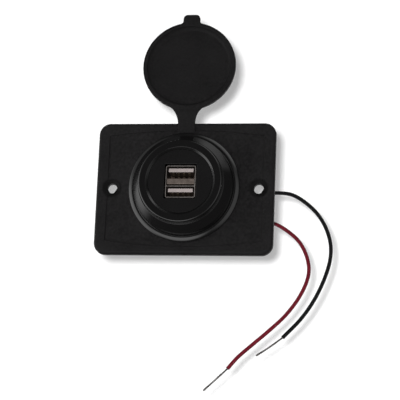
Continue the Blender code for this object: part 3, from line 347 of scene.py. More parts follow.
def makePlate(s):
    front = -s["thickness"]
    halfX, halfZ = s["width"] / 2, s["height"] / 2
    plate = addBox("plateShell", (-halfX, front, -halfZ), (halfX, 0, halfZ))
    focusOn(plate)
    bpy.ops.object.mode_set(mode="EDIT")
    selectEdges(plate, lambda a, b: abs(a.y - b.y) > 1)
    bevelSelected(s["corner"], 12)
    selectEdges(plate, lambda a, b: near(a.y, front) and near(b.y, front))
    bevelSelected(s["edge"], 6)
    selectEdges(plate, lambda a, b: near(a.y, 0) and near(b.y, 0))
    bevelSelected(s["rearEdge"], 2)
    bpy.ops.object.mode_set(mode="OBJECT")

    # the sunk panel, straight at its sides and bowed at its top and bottom
    half, side, deep = s["panelWidth"] / 2, s["panelHeight"] / 2, s["panelDepth"]
    radius = (half**2 + s["panelBow"]**2) / (2 * s["panelBow"])

    def bowAt(x):
        return math.sqrt(radius**2 - x**2) - (radius - s["panelBow"])

    pocket = addBox("panelCutter", (-half, front - deep, -side), (half, front + deep, side))
    bpy.ops.object.mode_set(mode="EDIT")
    selectEdges(pocket, lambda a, b: abs(a.x - b.x) > 1)
    bpy.ops.mesh.subdivide(number_cuts=s["panelCuts"])
    bpy.ops.object.mode_set(mode="OBJECT")
    for point in pocket.data.vertices:
        point.co.z += math.copysign(bowAt(point.co.x / mm) * mm, point.co.z)
    cutWith(plate, pocket)

    # the bore for the barrel, the nut's seat behind it and the two countersunk screw holes
    past, sides = front - cutterReach, s["sides"]
    cutWith(plate, addRod("barrelCutter", 0, 0, s["barrelHole"], past, cutterReach, sides))
    cutWith(plate, addRod("seatCutter", 0, 0, s["seatRadius"], -s["seatDepth"], cutterReach, sides))
    wide = s["holeRadius"] + 2 * (s["sinkRadius"] - s["holeRadius"])
    sinkEnds = (front - s["sinkDepth"], front + s["sinkDepth"])
    for x in (-s["holeX"], s["holeX"]):
        cutWith(plate, addRod("holeCutter", x, 0, s["holeRadius"], past, cutterReach))
        cutWith(plate, addRod("sinkCutter", x, 0, s["holeRadius"], *sinkEnds, frontRadius=wide))

    def onPanelRim(p):
        atSide = near(abs(p.x), half, 0.02) and abs(p.z) < side + 0.05
        atEnd = near(abs(p.z), side + bowAt(min(abs(p.x), half)), 0.05) and abs(p.x) < half + 0.02
        return near(p.y, front) and (atSide or atEnd)

    focusOn(plate)
    bpy.ops.object.mode_set(mode="EDIT")
    selectEdges(plate, lambda a, b: onPanelRim(a) and onPanelRim(b))
    bevelSelected(s["panelEdge"], 2)
    bpy.ops.object.mode_set(mode="OBJECT")
    smoothShade(plate, s["smooth"], level=True)
    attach(plate, "socket")
    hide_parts("mounting_plate")
    return plate


plateShell = makePlate(plateSettings)
print("plate made")


socketSettings = {
    "sides": 128, "smooth": 32, "bore": 12.609, "barrel": 14.259, "barrelEnd": 36.0, "rimBack": -4.7,
    "back": [(13.459, 36.0), (13.9, 35.6)],
    # the rim's two arcs: centre, radius, first and last angle, and steps
    "rimEdge": (24.78, -5.2, 0.5, 90, -46, 14), "rimFace": (22.51, -2.496, 4.03, -50, -76, 10),
    # skirt, cone, nose and the seat of the insert, from the rim inwards: radius, depth and corner
    "front": [
        (23.3, -6.4), (23.1, -6.2, 0.1), (22.7, -6.6, 0.3), (22.45, -10.2, 0.4), (19.409, -14.3, 0.25),
        (18.909, -14.3, 0.15), (18.909, -17.0, 0.8), (15.559, -17.0, 0.2), (14.559, -16.05, 0.1),
        (14.559, -10.4, 0.2), (12.609, -10.4),
    ],
    "threadPitch": 2.0, "threadDepth": 0.6, "threadStart": 1.5, "threadEnd": 34.8, "threadRunOut": 1.0,
    # rings in each turn, the radii that the thread cuts, its flanks' slope and the width of its root
    "threadRings": 10, "threadBand": (13.95, 14.4), "threadSlope": 2.6, "threadRoot": 0.15,
}


def makeSocketBody(s):
    steps = s["threadRings"]
    count = round((s["threadEnd"] - s["threadStart"]) / s["threadPitch"] * steps)
    rings = list(s["back"])
    rings += [(s["barrel"], s["threadEnd"] - i * s["threadPitch"] / steps) for i in range(count + 1)]
    rings += [(s["barrel"], s["rimBack"]), *arcPoints(*s["rimEdge"]), *arcPoints(*s["rimFace"])]
    rings += [*roundProfile(s["front"], 7), (s["bore"], s["barrelEnd"])]
    shell = turnRings("socketShell", rings, s["sides"], closed=True)

    # the thread is cut helically into the barrel's outside
    low, high = s["threadBand"]
    for point in shell.data.vertices:
        x, y, z = point.co / mm
        radius = math.hypot(x, z)
        if not (low <= radius <= high and s["threadStart"] <= y <= s["threadEnd"] + 0.01):
            continue
        turn = (y / s["threadPitch"] + math.atan2(z, x) / math.tau) % 1
        crest = min(1.0, max(0.0, s["threadSlope"] * abs(turn - 0.5) - s["threadRoot"]))
        fade = min(1, min(y - s["threadStart"], s["threadEnd"] - y) / s["threadRunOut"])
        cut = s["threadDepth"] * (1 - crest) * max(0, fade)
        point.co.x -= x / radius * cut * mm
        point.co.z -= z / radius * cut * mm
    smoothShade(shell, s["smooth"], level=True)
    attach(shell, "socket")
    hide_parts("socket_body")
    return shell


socketShell = makeSocketBody(socketSettings)
print("socket body turned")


insertSettings = {
    "radius": 14.5, "hub": 0.5, "front": -16.2, "rear": -10.7, "wall": 1.6, "sides": 112, "smooth": 35,
    "halfX": 7.2, "halfZ": 7.8, "openingDepth": 4, "corner": 0.6, "openingEdge": 0.35,
}


def makeInsert(s):
    inner, back = s["radius"] - s["wall"], s["front"] + s["wall"]
    rings = roundProfile([
        (s["hub"], back), (inner, back, 0.4), (inner, s["rear"]), (s["radius"], s["rear"], 0.2),
        (s["radius"], s["front"], 0.12), (s["hub"], s["front"]),
    ])
    insert = turnRings("frontInsert", rings, s["sides"], fillEnds=True)
    low = (-s["halfX"], s["front"] - cutterReach, -s["halfZ"])
    high = (s["halfX"], s["front"] + s["openingDepth"], s["halfZ"])
    opening = addBox("openingCutter", low, high)
    bpy.ops.object.mode_set(mode="EDIT")
    selectEdges(opening, lambda a, b: abs(a.y - b.y) > 1)
    bevelSelected(s["corner"], 5)
    bpy.ops.object.mode_set(mode="OBJECT")
    cutWith(insert, opening)

    def onOpening(p):
        return near(p.y, s["front"]) and abs(p.x) < s["halfX"] + 0.01 and abs(p.z) < s["halfZ"] + 0.01

    focusOn(insert)
    bpy.ops.object.mode_set(mode="EDIT")
    selectEdges(insert, lambda a, b: onOpening(a) and onOpening(b))
    bevelSelected(s["openingEdge"], 2)
    bpy.ops.object.mode_set(mode="OBJECT")
    smoothShade(insert, s["smooth"], level=True)
    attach(insert, "socket")
    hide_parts("front_insert")
    return insert


frontInsert = makeInsert(insertSettings)
print("front insert made")


nutSettings = {
    "bore": 14.559, "radius": 17.809, "flange": 19.509, "front": -0.2, "flangeRear": 2.0, "rear": 8.3,
    "chamfer": 0.6, "notches": 8, "notchRadius": 2.0, "notchReach": 18.609, "sides": 128, "smooth": 30,
}


def makeRingNut(s):
    bore, radius, flange, front, rear = (s[k] for k in ("bore", "radius", "flange", "front", "rear"))
    rings = roundProfile([
        (bore, rear - s["chamfer"]), (bore + s["chamfer"], rear, 0.12), (radius, rear, 0.6),
        (radius, s["flangeRear"], 0.3), (flange, s["flangeRear"], 0.4), (flange, front, 0.3), (bore, front),
    ])
    nut = turnRings("ringNut", rings, s["sides"], closed=True)
    for i in range(s["notches"]):
        a = math.tau * (i + 0.5) / s["notches"]
        x, z = s["notchReach"] * math.cos(a), s["notchReach"] * math.sin(a)
        cutWith(nut, addRod("notchCutter", x, z, s["notchRadius"], s["flangeRear"], rear + cutterReach, 32))
    smoothShade(nut, s["smooth"], level=True)
    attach(nut, "socket")
    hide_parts("ring_nut")
    return nut


ringNut = makeRingNut(nutSettings)

rearCapSettings = {
    "radius": 14.259, "front": 36.3, "rear": 38.3, "sides": 96, "smooth": 35,
    "hole": 3.7, "holeLip": (1.6, 1.9), "holeSink": 0.25, "groove": (10.2, 10.5, 11.1, 11.4),
    "grooveDepth": 0.35, "spigot": 12.309, "spigotInner": 10.809, "spigotEnd": 33.5,
}


def makeRearCap(s):
    front, rear, hole = s["front"], s["rear"], s["hole"]
    lipIn, lipOut = (hole + reach for reach in s["holeLip"])
    a, b, c, d = s["groove"]
    sunk, grooved = rear - s["holeSink"], rear - s["grooveDepth"]
    rings = roundProfile([
        (hole, front), (hole, sunk, 0.1), (lipIn, sunk, 0.1), (lipOut, rear, 0.2),
        (a, rear, 0.2), (b, grooved, 0.1), (c, grooved, 0.1), (d, rear, 0.2),
        (s["radius"], rear, 0.7), (s["radius"], front, 0.15), (s["spigot"], front),
        (s["spigot"], s["spigotEnd"]), (s["spigotInner"], s["spigotEnd"]), (s["spigotInner"], front),
    ])
    cap = turnRings("rearCap", rings, s["sides"], closed=True)
    smoothShade(cap, s["smooth"], level=True)
    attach(cap, "socket")
    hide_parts("rear_cap")
    return cap


rearCap = makeRearCap(rearCapSettings)

grommetSettings = {
    # inner flange, neck in the rear cap, outer flange and ribbed nose: radius, depth and corner
    "profile": [
        (2.6, 34.6), (4.6, 34.6, 0.4), (4.9, 36.0, 0.2), (3.4, 36.0), (3.4, 38.6),
        (4.9, 38.6, 0.3), (4.9, 40.0, 0.5), (4.1, 40.0, 0.2), (3.95, 41.0, 0.15),
        (3.7, 41.1), (3.7, 41.5), (3.9, 41.6, 0.1), (3.8, 42.4, 0.15),
        (3.5, 42.5), (3.5, 42.9), (3.65, 43.0, 0.1), (3.5, 44.0, 0.35), (2.6, 44.0),
    ],
    "sides": 64, "smooth": 40,
    "leadHole": (0.94, 33, 46, 24),  # radius, front, rear and sides
}


def makeGrommet(s):
    grommet = turnRings("leadGrommet", roundProfile(s["profile"], 3), s["sides"], fillEnds=True)
    for z in leadSettings["heights"].values():
        cutWith(grommet, addRod("leadCutter", 0, z, *s["leadHole"]))
    smoothShade(grommet, s["smooth"])
    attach(grommet, "socket")
    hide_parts("wire_grommet")
    return grommet


leadGrommet = makeGrommet(grommetSettings)
print("back of the socket made")


# ring, strap and dust cap are one moulding, shaped flat, then bent along the strap's line
rubberSettings = {
    "thickness": 0.9, "ringRadius": 22.409, "ringHole": 14.559, "ringSides": 128, "ringY": -3.95,
    "strapWidth": 8.0, "strapFoot": 20.5, "flare": 9.5, "flareSteps": 24, "foldToCentre": 23.109,
    "rootInset": 0.7, "rootShare": 0.93, "rootSteps": 9,
    "capRadius": 21.409, "capThickness": 3.4, "capHub": 0.4, "capSides": 144, "lip": -0.55,
    "backCorner": (1.2, 1.1), "mouth": (0.1, 0.8),  # steps inwards and along the cap's depth
    "recessRadius": 19.509, "recessFloor": 18.109, "recess": 2.0,
    # steps out from the tab's side, and up from the recess's edge or from the cap's edge
    "tabRoot": (0.3, 0.6), "tabFoot": [(0.9, -0.9), (0.25, 0.0), (0.0, 0.7)],
    "tabWidth": 7.8, "tabLength": 3.9, "tabCorner": 2.0, "tabThickness": 1.6,
    # size of the remesh, smoothing, and how far the parting lies past the middle of the line
    "voxel": 0.27, "relax": 0.5, "relaxRounds": 3, "partingShift": 3.65, "smooth": 60,
    # the strap's middle line in y and z, from the ring's plane to the cap's plane
    "line": [
        (-3.95, 20.0), (-3.95, 22.0), (-3.95, 24.3), (-4.13, 25.3), (-4.58, 26.3), (-4.957, 27.33),
        (-5.385, 29.26), (-5.818, 31.215), (-6.164, 32.777), (-6.36, 33.75), (-6.50, 34.6), (-6.487, 35.538),
    ],
    "capLean": 4.3, "capLineStart": 1.2,
}


class StrapLine:
    # turns a place on the flat moulding into its place on the bent one
    def __init__(self, s):
        knots = [Vector((0, y, z)) for y, z in s["line"]]
        self.points, self.length = smoothRoute(knots, 0.1)
        self.start = s["line"][0][1]
        self.ringY = s["ringY"]
        lean = math.radians(s["capLean"])
        self.along = Vector((0, math.sin(lean), math.cos(lean)))
        self.across = Vector((0, math.cos(lean), -math.sin(lean)))
        self.centre = self.start + self.length + s["foldToCentre"] - s["capLineStart"]

    def bend(self, place):
        x, n, height = place / mm
        if height <= self.start:
            return Vector((x, n + self.ringY, height)) * mm
        run = height - self.start
        if run >= self.length:
            end = self.points[-1]
            return (Vector((x, 0, 0)) + end + self.along * (run - self.length) + self.across * n) * mm
        count = len(self.points) - 1
        i = min(count - 1, int(run / self.length * count))
        share = run / self.length * count - i
        here = self.points[i].lerp(self.points[i + 1], share)
        before = (self.points[i + 1] - self.points[max(i - 1, 0)]).normalized()
        after = (self.points[min(i + 2, count)] - self.points[i]).normalized()
        along = before.lerp(after, share).normalized()
        across = Vector((0, along.z, -along.y))
        return (Vector((x, 0, 0)) + here + across * n) * mm


def flatPad(name, outline, low, high):
    # an outline in x and z, filled and extruded through the moulding's thickness
    clearSelection()
    bpy.ops.mesh.primitive_circle_add(
        vertices=len(outline), radius=mm, fill_type="NGON", rotation=(math.pi / 2, 0, 0)
    )
    pad = namePiece(name)
    applyPlace(pad)
    for point, (x, z) in zip(pad.data.vertices, outline):
        point.co = Vector((x, low, z)) * mm
    bpy.ops.object.mode_set(mode="EDIT")
    bpy.ops.mesh.select_all(action="SELECT")
    bpy.ops.mesh.extrude_region_move(TRANSFORM_OT_translate={"value": (0, (high - low) * mm, 0)})
    bpy.ops.mesh.select_all(action="SELECT")
    bpy.ops.mesh.normals_make_consistent(inside=False)
    bpy.ops.object.mode_set(mode="OBJECT")
    return pad


def makeRubber(s):
    line = StrapLine(s)
    centre, half = line.centre, s["thickness"] / 2
    ring = turnRings("rubberRing", roundProfile([
        (s["ringHole"], -half), (s["ringRadius"], -half), (s["ringRadius"], half), (s["ringHole"], half),
    ]), s["ringSides"], closed=True)

    # strap with its flare into the cap's edge
    flareX = s["strapWidth"] / 2 + s["flare"]
    drop = math.sqrt((s["capRadius"] + s["flare"]) ** 2 - flareX**2)
    flareLow = s["foldToCentre"] - drop
    flareTop = s["foldToCentre"] - drop * s["capRadius"] / (s["capRadius"] + s["flare"])
    fold = centre - s["foldToCentre"]
    right = [(s["strapWidth"] / 2, s["strapFoot"]), (s["strapWidth"] / 2, fold + flareLow)]
    for i in range(1, s["flareSteps"] + 1):
        h = flareLow + (flareTop - flareLow) * i / s["flareSteps"]
        right.append((flareX - math.sqrt(s["flare"] ** 2 - (h - flareLow) ** 2), fold + h))
    # its end follows the recess inside the cap's wall
    rootX, rootRadius = right[-1][0] * s["rootShare"], s["recessRadius"] + s["rootInset"]
    for i in range(s["rootSteps"]):
        x = rootX * (1 - i / s["rootSteps"])
        right.append((x, centre - math.sqrt(rootRadius**2 - x**2)))
    strap = flatPad("rubberStrap", right + [(-x, z) for x, z in reversed(right)], -half, half)

    lip, back, radius = s["lip"], s["lip"] + s["capThickness"], s["capRadius"]
    cornerX, cornerY = s["backCorner"]
    mouthX, mouthY = s["mouth"]
    disc = turnRings("rubberDisc", roundProfile([
        (s["capHub"], back), (radius - cornerX, back, 1.0), (radius, back - cornerY, 0.8), (radius, lip, 0.3),
        (s["recessRadius"], lip, 0.25), (s["recessRadius"] - mouthX, lip + mouthY, 0.3),
        (s["recessFloor"], lip + s["recess"], 0.6), (s["capHub"], lip + s["recess"]),
    ], 5), s["capSides"], fillEnds=True, centreZ=centre)

    # the pull tab, with its foot inside the cap's wall
    tabHalf, foot, corner = s["tabWidth"] / 2, centre + radius, s["tabCorner"]
    tabRight = [(tabHalf + s["tabRoot"][0], centre + s["recessRadius"] + s["tabRoot"][1])]
    tabRight += [(tabHalf + x, foot + z) for x, z in s["tabFoot"]]
    tabRight += arcPoints(tabHalf - corner, foot + s["tabLength"] - corner, corner, 0, 90, 8)
    tabOutline = tabRight + [(-x, z) for x, z in reversed(tabRight)]
    tab = flatPad("rubberTab", tabOutline, -half, s["tabThickness"] - half)

    whole = joinPieces([disc, ring, strap, tab], "rubberMoulding")
    applyModifier(whole, "REMESH", mode="VOXEL", voxel_size=s["voxel"] * mm, adaptivity=0.0)
    applyModifier(whole, "SMOOTH", factor=s["relax"], iterations=s["relaxRounds"])

    # the moulding is parted between the strap's two folds, so that each half bends over one of them
    middle = line.start + (line.length / 2 + s["partingShift"])
    focusOn(whole)
    bpy.ops.object.duplicate()
    lower = namePiece("rubberRingStrap")
    upper = whole
    upper.name = "rubberCap"
    for piece, outer in ((lower, True), (upper, False)):
        focusOn(piece)
        bpy.ops.object.mode_set(mode="EDIT")
        bpy.ops.mesh.select_all(action="SELECT")
        bpy.ops.mesh.bisect(
            plane_co=(0, 0, middle * mm), plane_no=(0, 0, 1), use_fill=False,
            clear_outer=outer, clear_inner=not outer
        )
        bpy.ops.object.mode_set(mode="OBJECT")
        for point in piece.data.vertices:
            point.co = line.bend(point.co)
        piece.data.update()
        smoothShade(piece, s["smooth"])
    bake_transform(lower)
    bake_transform(upper)
    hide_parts("cap_ring", "cap_strap")
    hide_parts("dust_cap")
    return lower, upper


rubberRingStrap, rubberCap = makeRubber(rubberSettings)
print("rubber moulding bent and parted")


def nodeTree(name):
    material = bpy.data.materials.new(name)
    material.use_nodes = True
    tree = material.node_tree
    return material, tree, tree.nodes["Principled BSDF"]


def addNode(tree, kind, settings=None, **inputs):
    node = tree.nodes.new(kind)
    for key, value in (settings or {}).items():
        setattr(node, key, value)
    for key, value in inputs.items():
        socket = node.inputs[key.replace("_", " ")]
        if isinstance(value, bpy.types.NodeSocket):
            tree.links.new(value, socket)
        else:
            socket.default_value = value
    return node


def objectPlace(tree):
    return tree.nodes.new("ShaderNodeTexCoord").outputs["Object"]


def colourSteps(tree, value, stops):
    # two colours, one at each end of the ramp
    ramp = addNode(tree, "ShaderNodeValToRGB", None, Fac=value)
    for element, (place, colour) in zip(ramp.color_ramp.elements, stops):
        element.position = place
        element.color = (*colour, 1)
    return ramp.outputs["Color"]


def rangeOf(tree, value, low, high, fromLow=0.0, fromHigh=1.0):
    node = addNode(tree, "ShaderNodeMapRange")
    for key, number in (("From Min", fromLow), ("From Max", fromHigh), ("To Min", low), ("To Max", high)):
        node.inputs[key].default_value = number
    tree.links.new(value, node.inputs["Value"])
    return node.outputs["Result"]


grainSettings = {"pebble": 1700.0, "pebbleHeight": 0.45, "broad": 90.0, "broadShare": 0.3}


def makeGrainGroup(s):
    # moulded grain: a fine pebble with a broad, faint unevenness
    group = bpy.data.node_groups.new("mouldedGrain", "ShaderNodeTree")
    group.interface.new_socket("Place", in_out="INPUT", socket_type="NodeSocketVector")
    group.interface.new_socket("Scale", in_out="INPUT", socket_type="NodeSocketFloat")
    group.interface.new_socket("Height", in_out="OUTPUT", socket_type="NodeSocketFloat")
    group.interface.new_socket("Patches", in_out="OUTPUT", socket_type="NodeSocketFloat")
    start, end = group.nodes.new("NodeGroupInput"), group.nodes.new("NodeGroupOutput")
    place = start.outputs["Place"]
    fine = addNode(group, "ShaderNodeTexNoise", None, Vector=place, Scale=start.outputs["Scale"], Detail=3.0)
    pebble = addNode(group, "ShaderNodeTexVoronoi", {"feature": "SMOOTH_F1"}, Vector=place, Scale=s["pebble"])
    both = addNode(group, "ShaderNodeMath", {"operation": "MULTIPLY_ADD"})
    group.links.new(pebble.outputs["Distance"], both.inputs[0])
    both.inputs[1].default_value = s["pebbleHeight"]
    group.links.new(fine.outputs["Fac"], both.inputs[2])
    broad = addNode(group, "ShaderNodeTexNoise", None, Vector=place, Scale=s["broad"], Detail=4.0)
    group.links.new(both.outputs[0], end.inputs["Height"])
    speckle = addNode(group, "ShaderNodeMix", {"data_type": "FLOAT"}, Factor=s["broadShare"])
    group.links.new(fine.outputs["Fac"], speckle.inputs["A"])
    group.links.new(broad.outputs["Fac"], speckle.inputs["B"])
    group.links.new(speckle.outputs["Result"], end.inputs["Patches"])
    return group


grainGroup = makeGrainGroup(grainSettings)


def addGrain(tree, scale):
    node = tree.nodes.new("ShaderNodeGroup")
    node.node_tree = grainGroup
    tree.links.new(objectPlace(tree), node.inputs["Place"])
    node.inputs["Scale"].default_value = scale
    return node


def addBump(tree, shader, height, strength, distance):
    bump = addNode(tree, "ShaderNodeBump", None, Strength=strength, Distance=distance, Height=height)
    tree.links.new(bump.outputs["Normal"], shader.inputs["Normal"])


# dark and light are the two ends of the colour, grain its scale, bump and depth its relief
plasticSettings = {
    "platePlastic": {
        "dark": 0.0045, "light": 0.0112, "rough": (0.5, 0.7), "grain": 1150, "bump": 0.5, "depth": 0.05,
        "specular": 0.22, "sinks": {"inner": 3.9, "outer": 4.9, "shade": 0.45},
    },
    "glossPlastic": {
        "dark": 0.0028, "light": 0.0038, "rough": (0.12, 0.2), "grain": 5200, "bump": 0.04, "depth": 0.02,
        "specular": 1.0,
    },
    "insertPlastic": {
        "dark": 0.0036, "light": 0.0052, "rough": (0.34, 0.44), "grain": 3600, "bump": 0.25, "depth": 0.03,
        "specular": 0.3,
    },
    "nutPlastic": {
        "dark": 0.009, "light": 0.013, "rough": (0.48, 0.6), "grain": 3000, "bump": 0.3, "depth": 0.04,
        "specular": 0.4,
    },
    "softRubber": {
        "dark": 0.0042, "light": 0.0096, "rough": (0.56, 0.7), "grain": 1400, "bump": 0.35, "depth": 0.05,
        "specular": 0.2,
    },
    "chipResin": {
        "dark": 0.012, "light": 0.02, "rough": (0.5, 0.65), "grain": 3800, "bump": 0.3, "depth": 0.03,
        "specular": 0.4,
    },
}
plasticTint = (1, 0.955, 0.985)  # black plastic that leans a little to purple
plasticStops = (0.34, 0.66)
roughSpan = (0.3, 0.7)  # the noise values between which the roughness changes


def paintSinkShade(tree, colour, s):
    # painted shade: the colour darkens towards each screw hole, standing in for the shade the countersinks
    # lie in
    hole = (plateSettings["holeX"] * mm, 0, 0)
    steps = [("ABSOLUTE", None), ("SUBTRACT", hole), ("MULTIPLY", (1, 0, 1))]
    place = objectPlace(tree)
    for operation, vector in steps:
        node = addNode(tree, "ShaderNodeVectorMath", {"operation": operation})
        tree.links.new(place, node.inputs[0])
        if vector:
            node.inputs[1].default_value = vector
        place = node.outputs["Vector"]
    reach = addNode(tree, "ShaderNodeVectorMath", {"operation": "LENGTH"})
    tree.links.new(place, reach.inputs[0])
    share = rangeOf(tree, reach.outputs["Value"], s["shade"], 1.0, s["inner"] * mm, s["outer"] * mm)
    scaled = addNode(tree, "ShaderNodeVectorMath", {"operation": "SCALE"})
    tree.links.new(colour, scaled.inputs[0])
    tree.links.new(share, scaled.inputs["Scale"])
    return scaled.outputs["Vector"]


def makePlastic(name, s):
    material, tree, shader = nodeTree(name)
    grain = addGrain(tree, s["grain"])
    ends = [tuple(s[k] * share for share in plasticTint) for k in ("dark", "light")]
    colour = colourSteps(tree, grain.outputs["Patches"], zip(plasticStops, ends))
    # painted shade in the two countersinks
    if "sinks" in s:
        colour = paintSinkShade(tree, colour, s["sinks"])
    tree.links.new(colour, shader.inputs["Base Color"])
    rough = rangeOf(tree, grain.outputs["Patches"], *s["rough"], *roughSpan)
    tree.links.new(rough, shader.inputs["Roughness"])
    shader.inputs["Specular IOR Level"].default_value = s["specular"]
    addBump(tree, shader, grain.outputs["Height"], s["bump"], s["depth"] * mm)
    return material


plastics = {name: makePlastic(name, s) for name, s in plasticSettings.items()}

# painted shade: this colour is given to the faces that look inwards or lie deep in the connector, where shade
# falls
finishSettings = {
    "tinnedSteel": {
        "dark": (0.3, 0.27, 0.25), "light": (0.42, 0.39, 0.37), "rough": (0.32, 0.46), "metallic": 0.75,
        "paintedShade": (0.1, 0.085, 0.075),
    },
    "foldedSteel": {
        "dark": (0.13, 0.105, 0.09), "light": (0.2, 0.165, 0.145), "rough": (0.34, 0.5), "metallic": 0.6,
        "paintedShade": (0.07, 0.055, 0.045),
    },
    "paleInsulator": {
        "dark": (0.24, 0.21, 0.202), "light": (0.29, 0.255, 0.247), "rough": (0.45, 0.55),
        "paintedShade": (0.035, 0.025, 0.02),
    },
    "platedContact": {
        "dark": (0.075, 0.055, 0.04), "light": (0.13, 0.1, 0.07), "rough": (0.4, 0.55), "metallic": 0.8,
    },
    "circuitBoard": {"dark": (0.008, 0.06, 0.022), "light": (0.014, 0.1, 0.035), "rough": (0.35, 0.5)},
    "darkFerrite": {"dark": (0.02, 0.02, 0.022), "light": (0.045, 0.045, 0.048), "rough": (0.5, 0.7)},
    "windingCopper": {
        "dark": (0.4, 0.12, 0.04), "light": (0.6, 0.22, 0.08), "rough": (0.25, 0.4), "metallic": 1.0,
    },
    "canAluminium": {
        "dark": (0.55, 0.55, 0.57), "light": (0.75, 0.75, 0.77), "rough": (0.3, 0.42), "metallic": 1.0,
    },
    "fuseResin": {"dark": (0.5, 0.25, 0.02), "light": (0.66, 0.36, 0.04), "rough": (0.4, 0.55)},
    "tinnedStrands": {
        "dark": (0.5, 0.47, 0.46), "light": (0.85, 0.82, 0.8), "rough": (0.2, 0.38), "metallic": 1.0,
    },
    "blackInsulation": {
        "dark": (0.005, 0.005, 0.0055), "light": (0.008, 0.008, 0.0085), "rough": (0.42, 0.55),
        "specular": 0.2,
    },
    "redInsulation": {
        "dark": (0.095, 0.005, 0.011), "light": (0.135, 0.009, 0.018), "rough": (0.36, 0.48),
        "specular": 0.3,
    },
}
# what all of them share: the scale of their two noises, and the relief of the fine one
finishGrain = {"broad": 420.0, "fine": 3800.0, "stops": (0.32, 0.68), "bump": 0.15, "depth": 0.02}

# the painted shade's mask fades out between these two values of the normal's y, and between these two depths
# in mm
paintedShadeSettings = {"facing": (-0.8, -0.35), "depth": (-13.8, -13.0)}


def makePaintedShadeGroup(s):
    # painted shade mask: 1 on the faces at the connector's mouth that look out of it, which keep their own
    # colour, 0 on all others, which take the painted shade
    group = bpy.data.node_groups.new("paintedShadeMask", "ShaderNodeTree")
    group.interface.new_socket("Mask", in_out="OUTPUT", socket_type="NodeSocketFloat")
    end = group.nodes.new("NodeGroupOutput")
    coordinates = group.nodes.new("ShaderNodeTexCoord")
    parts = addNode(group, "ShaderNodeSeparateXYZ", None, Vector=coordinates.outputs["Normal"])
    facing = rangeOf(group, parts.outputs["Y"], 1.0, 0.0, *s["facing"])
    place = addNode(group, "ShaderNodeSeparateXYZ", None, Vector=coordinates.outputs["Object"])
    shallow = rangeOf(group, place.outputs["Y"], 1.0, 0.0, *(y * mm for y in s["depth"]))
    both = addNode(group, "ShaderNodeMath", {"operation": "MULTIPLY"})
    group.links.new(facing, both.inputs[0])
    group.links.new(shallow, both.inputs[1])
    group.links.new(both.outputs[0], end.inputs["Mask"])
    return group


paintedShadeGroup = makePaintedShadeGroup(paintedShadeSettings)


def makeFinish(name, s, grain):
    material, tree, shader = nodeTree(name)
    place = objectPlace(tree)
    broad = addNode(
        tree, "ShaderNodeTexNoise", None, Vector=place, Scale=grain["broad"], Detail=5.0, Roughness=0.6
    )
    fine = addNode(tree, "ShaderNodeTexNoise", None, Vector=place, Scale=grain["fine"], Detail=2.0)
    colour = colourSteps(tree, broad.outputs["Fac"], zip(grain["stops"], (s["dark"], s["light"])))
    if "paintedShade" in s:
        # painted shade: faces that look inwards or lie deep take a darker colour than the front ones
        front = tree.nodes.new("ShaderNodeGroup")
        front.node_tree = paintedShadeGroup
        blend = addNode(tree, "ShaderNodeMix", {"data_type": "RGBA"})  # its colour sockets are 6, 7 and 2
        tree.links.new(front.outputs["Mask"], blend.inputs["Factor"])
        blend.inputs[6].default_value = (*s["paintedShade"], 1)
        tree.links.new(colour, blend.inputs[7])
        colour = blend.outputs[2]
    tree.links.new(colour, shader.inputs["Base Color"])
    rough = rangeOf(tree, broad.outputs["Fac"], *s["rough"], *roughSpan)
    tree.links.new(rough, shader.inputs["Roughness"])
    shader.inputs["Metallic"].default_value = s.get("metallic", 0.0)
    shader.inputs["Specular IOR Level"].default_value = s.get("specular", 0.5)
    addBump(tree, shader, fine.outputs["Fac"], grain["bump"], grain["depth"] * mm)
    return material


finishes = {name: makeFinish(name, s, finishGrain) for name, s in finishSettings.items()}


def dress(piece, material):
    piece.data.materials.clear()
    piece.data.materials.append(material)


dress(plateShell, plastics["platePlastic"])
dress(socketShell, plastics["glossPlastic"])
dress(frontInsert, plastics["insertPlastic"])
dress(ringNut, plastics["nutPlastic"])
dress(rearCap, plastics["nutPlastic"])
for piece in (leadGrommet, rubberRingStrap, rubberCap):
    dress(piece, plastics["softRubber"])
dress(leadPieces["black"][0], finishes["blackInsulation"])
dress(leadPieces["red"][0], finishes["redInsulation"])
for _, strands in leadPieces.values():
    dress(strands, finishes["tinnedStrands"])

nodeFinishes = {
    "usb_shell": "tinnedSteel", "usb_divider": "foldedSteel", "usb_insulator": "paleInsulator",
    "main_board": "circuitBoard", "inductor_core": "darkFerrite", "inductor_winding": "windingCopper",
    "input_capacitor": "canAluminium", "output_capacitor": "canAluminium", "input_fuse": "fuseResin",
    "black_lead_inside": "blackInsulation", "red_lead_inside": "redInsulation",
}
for name, node in cadNodes.items():
    if node.hide_render:
        continue
    if name.startswith("usb_contact"):
        dress(node, finishes["platedContact"])
    elif name in nodeFinishes:
        dress(node, finishes[nodeFinishes[name]])
    else:
        dress(node, plastics["chipResin"])
print("materials set")


stageSettings = {
    "backdropY": 130.0, "size": (400, 260), "middle": (-12.0, 28.0),
    "albedo": 0.95, "rough": 0.9, "glow": 0.04,
}


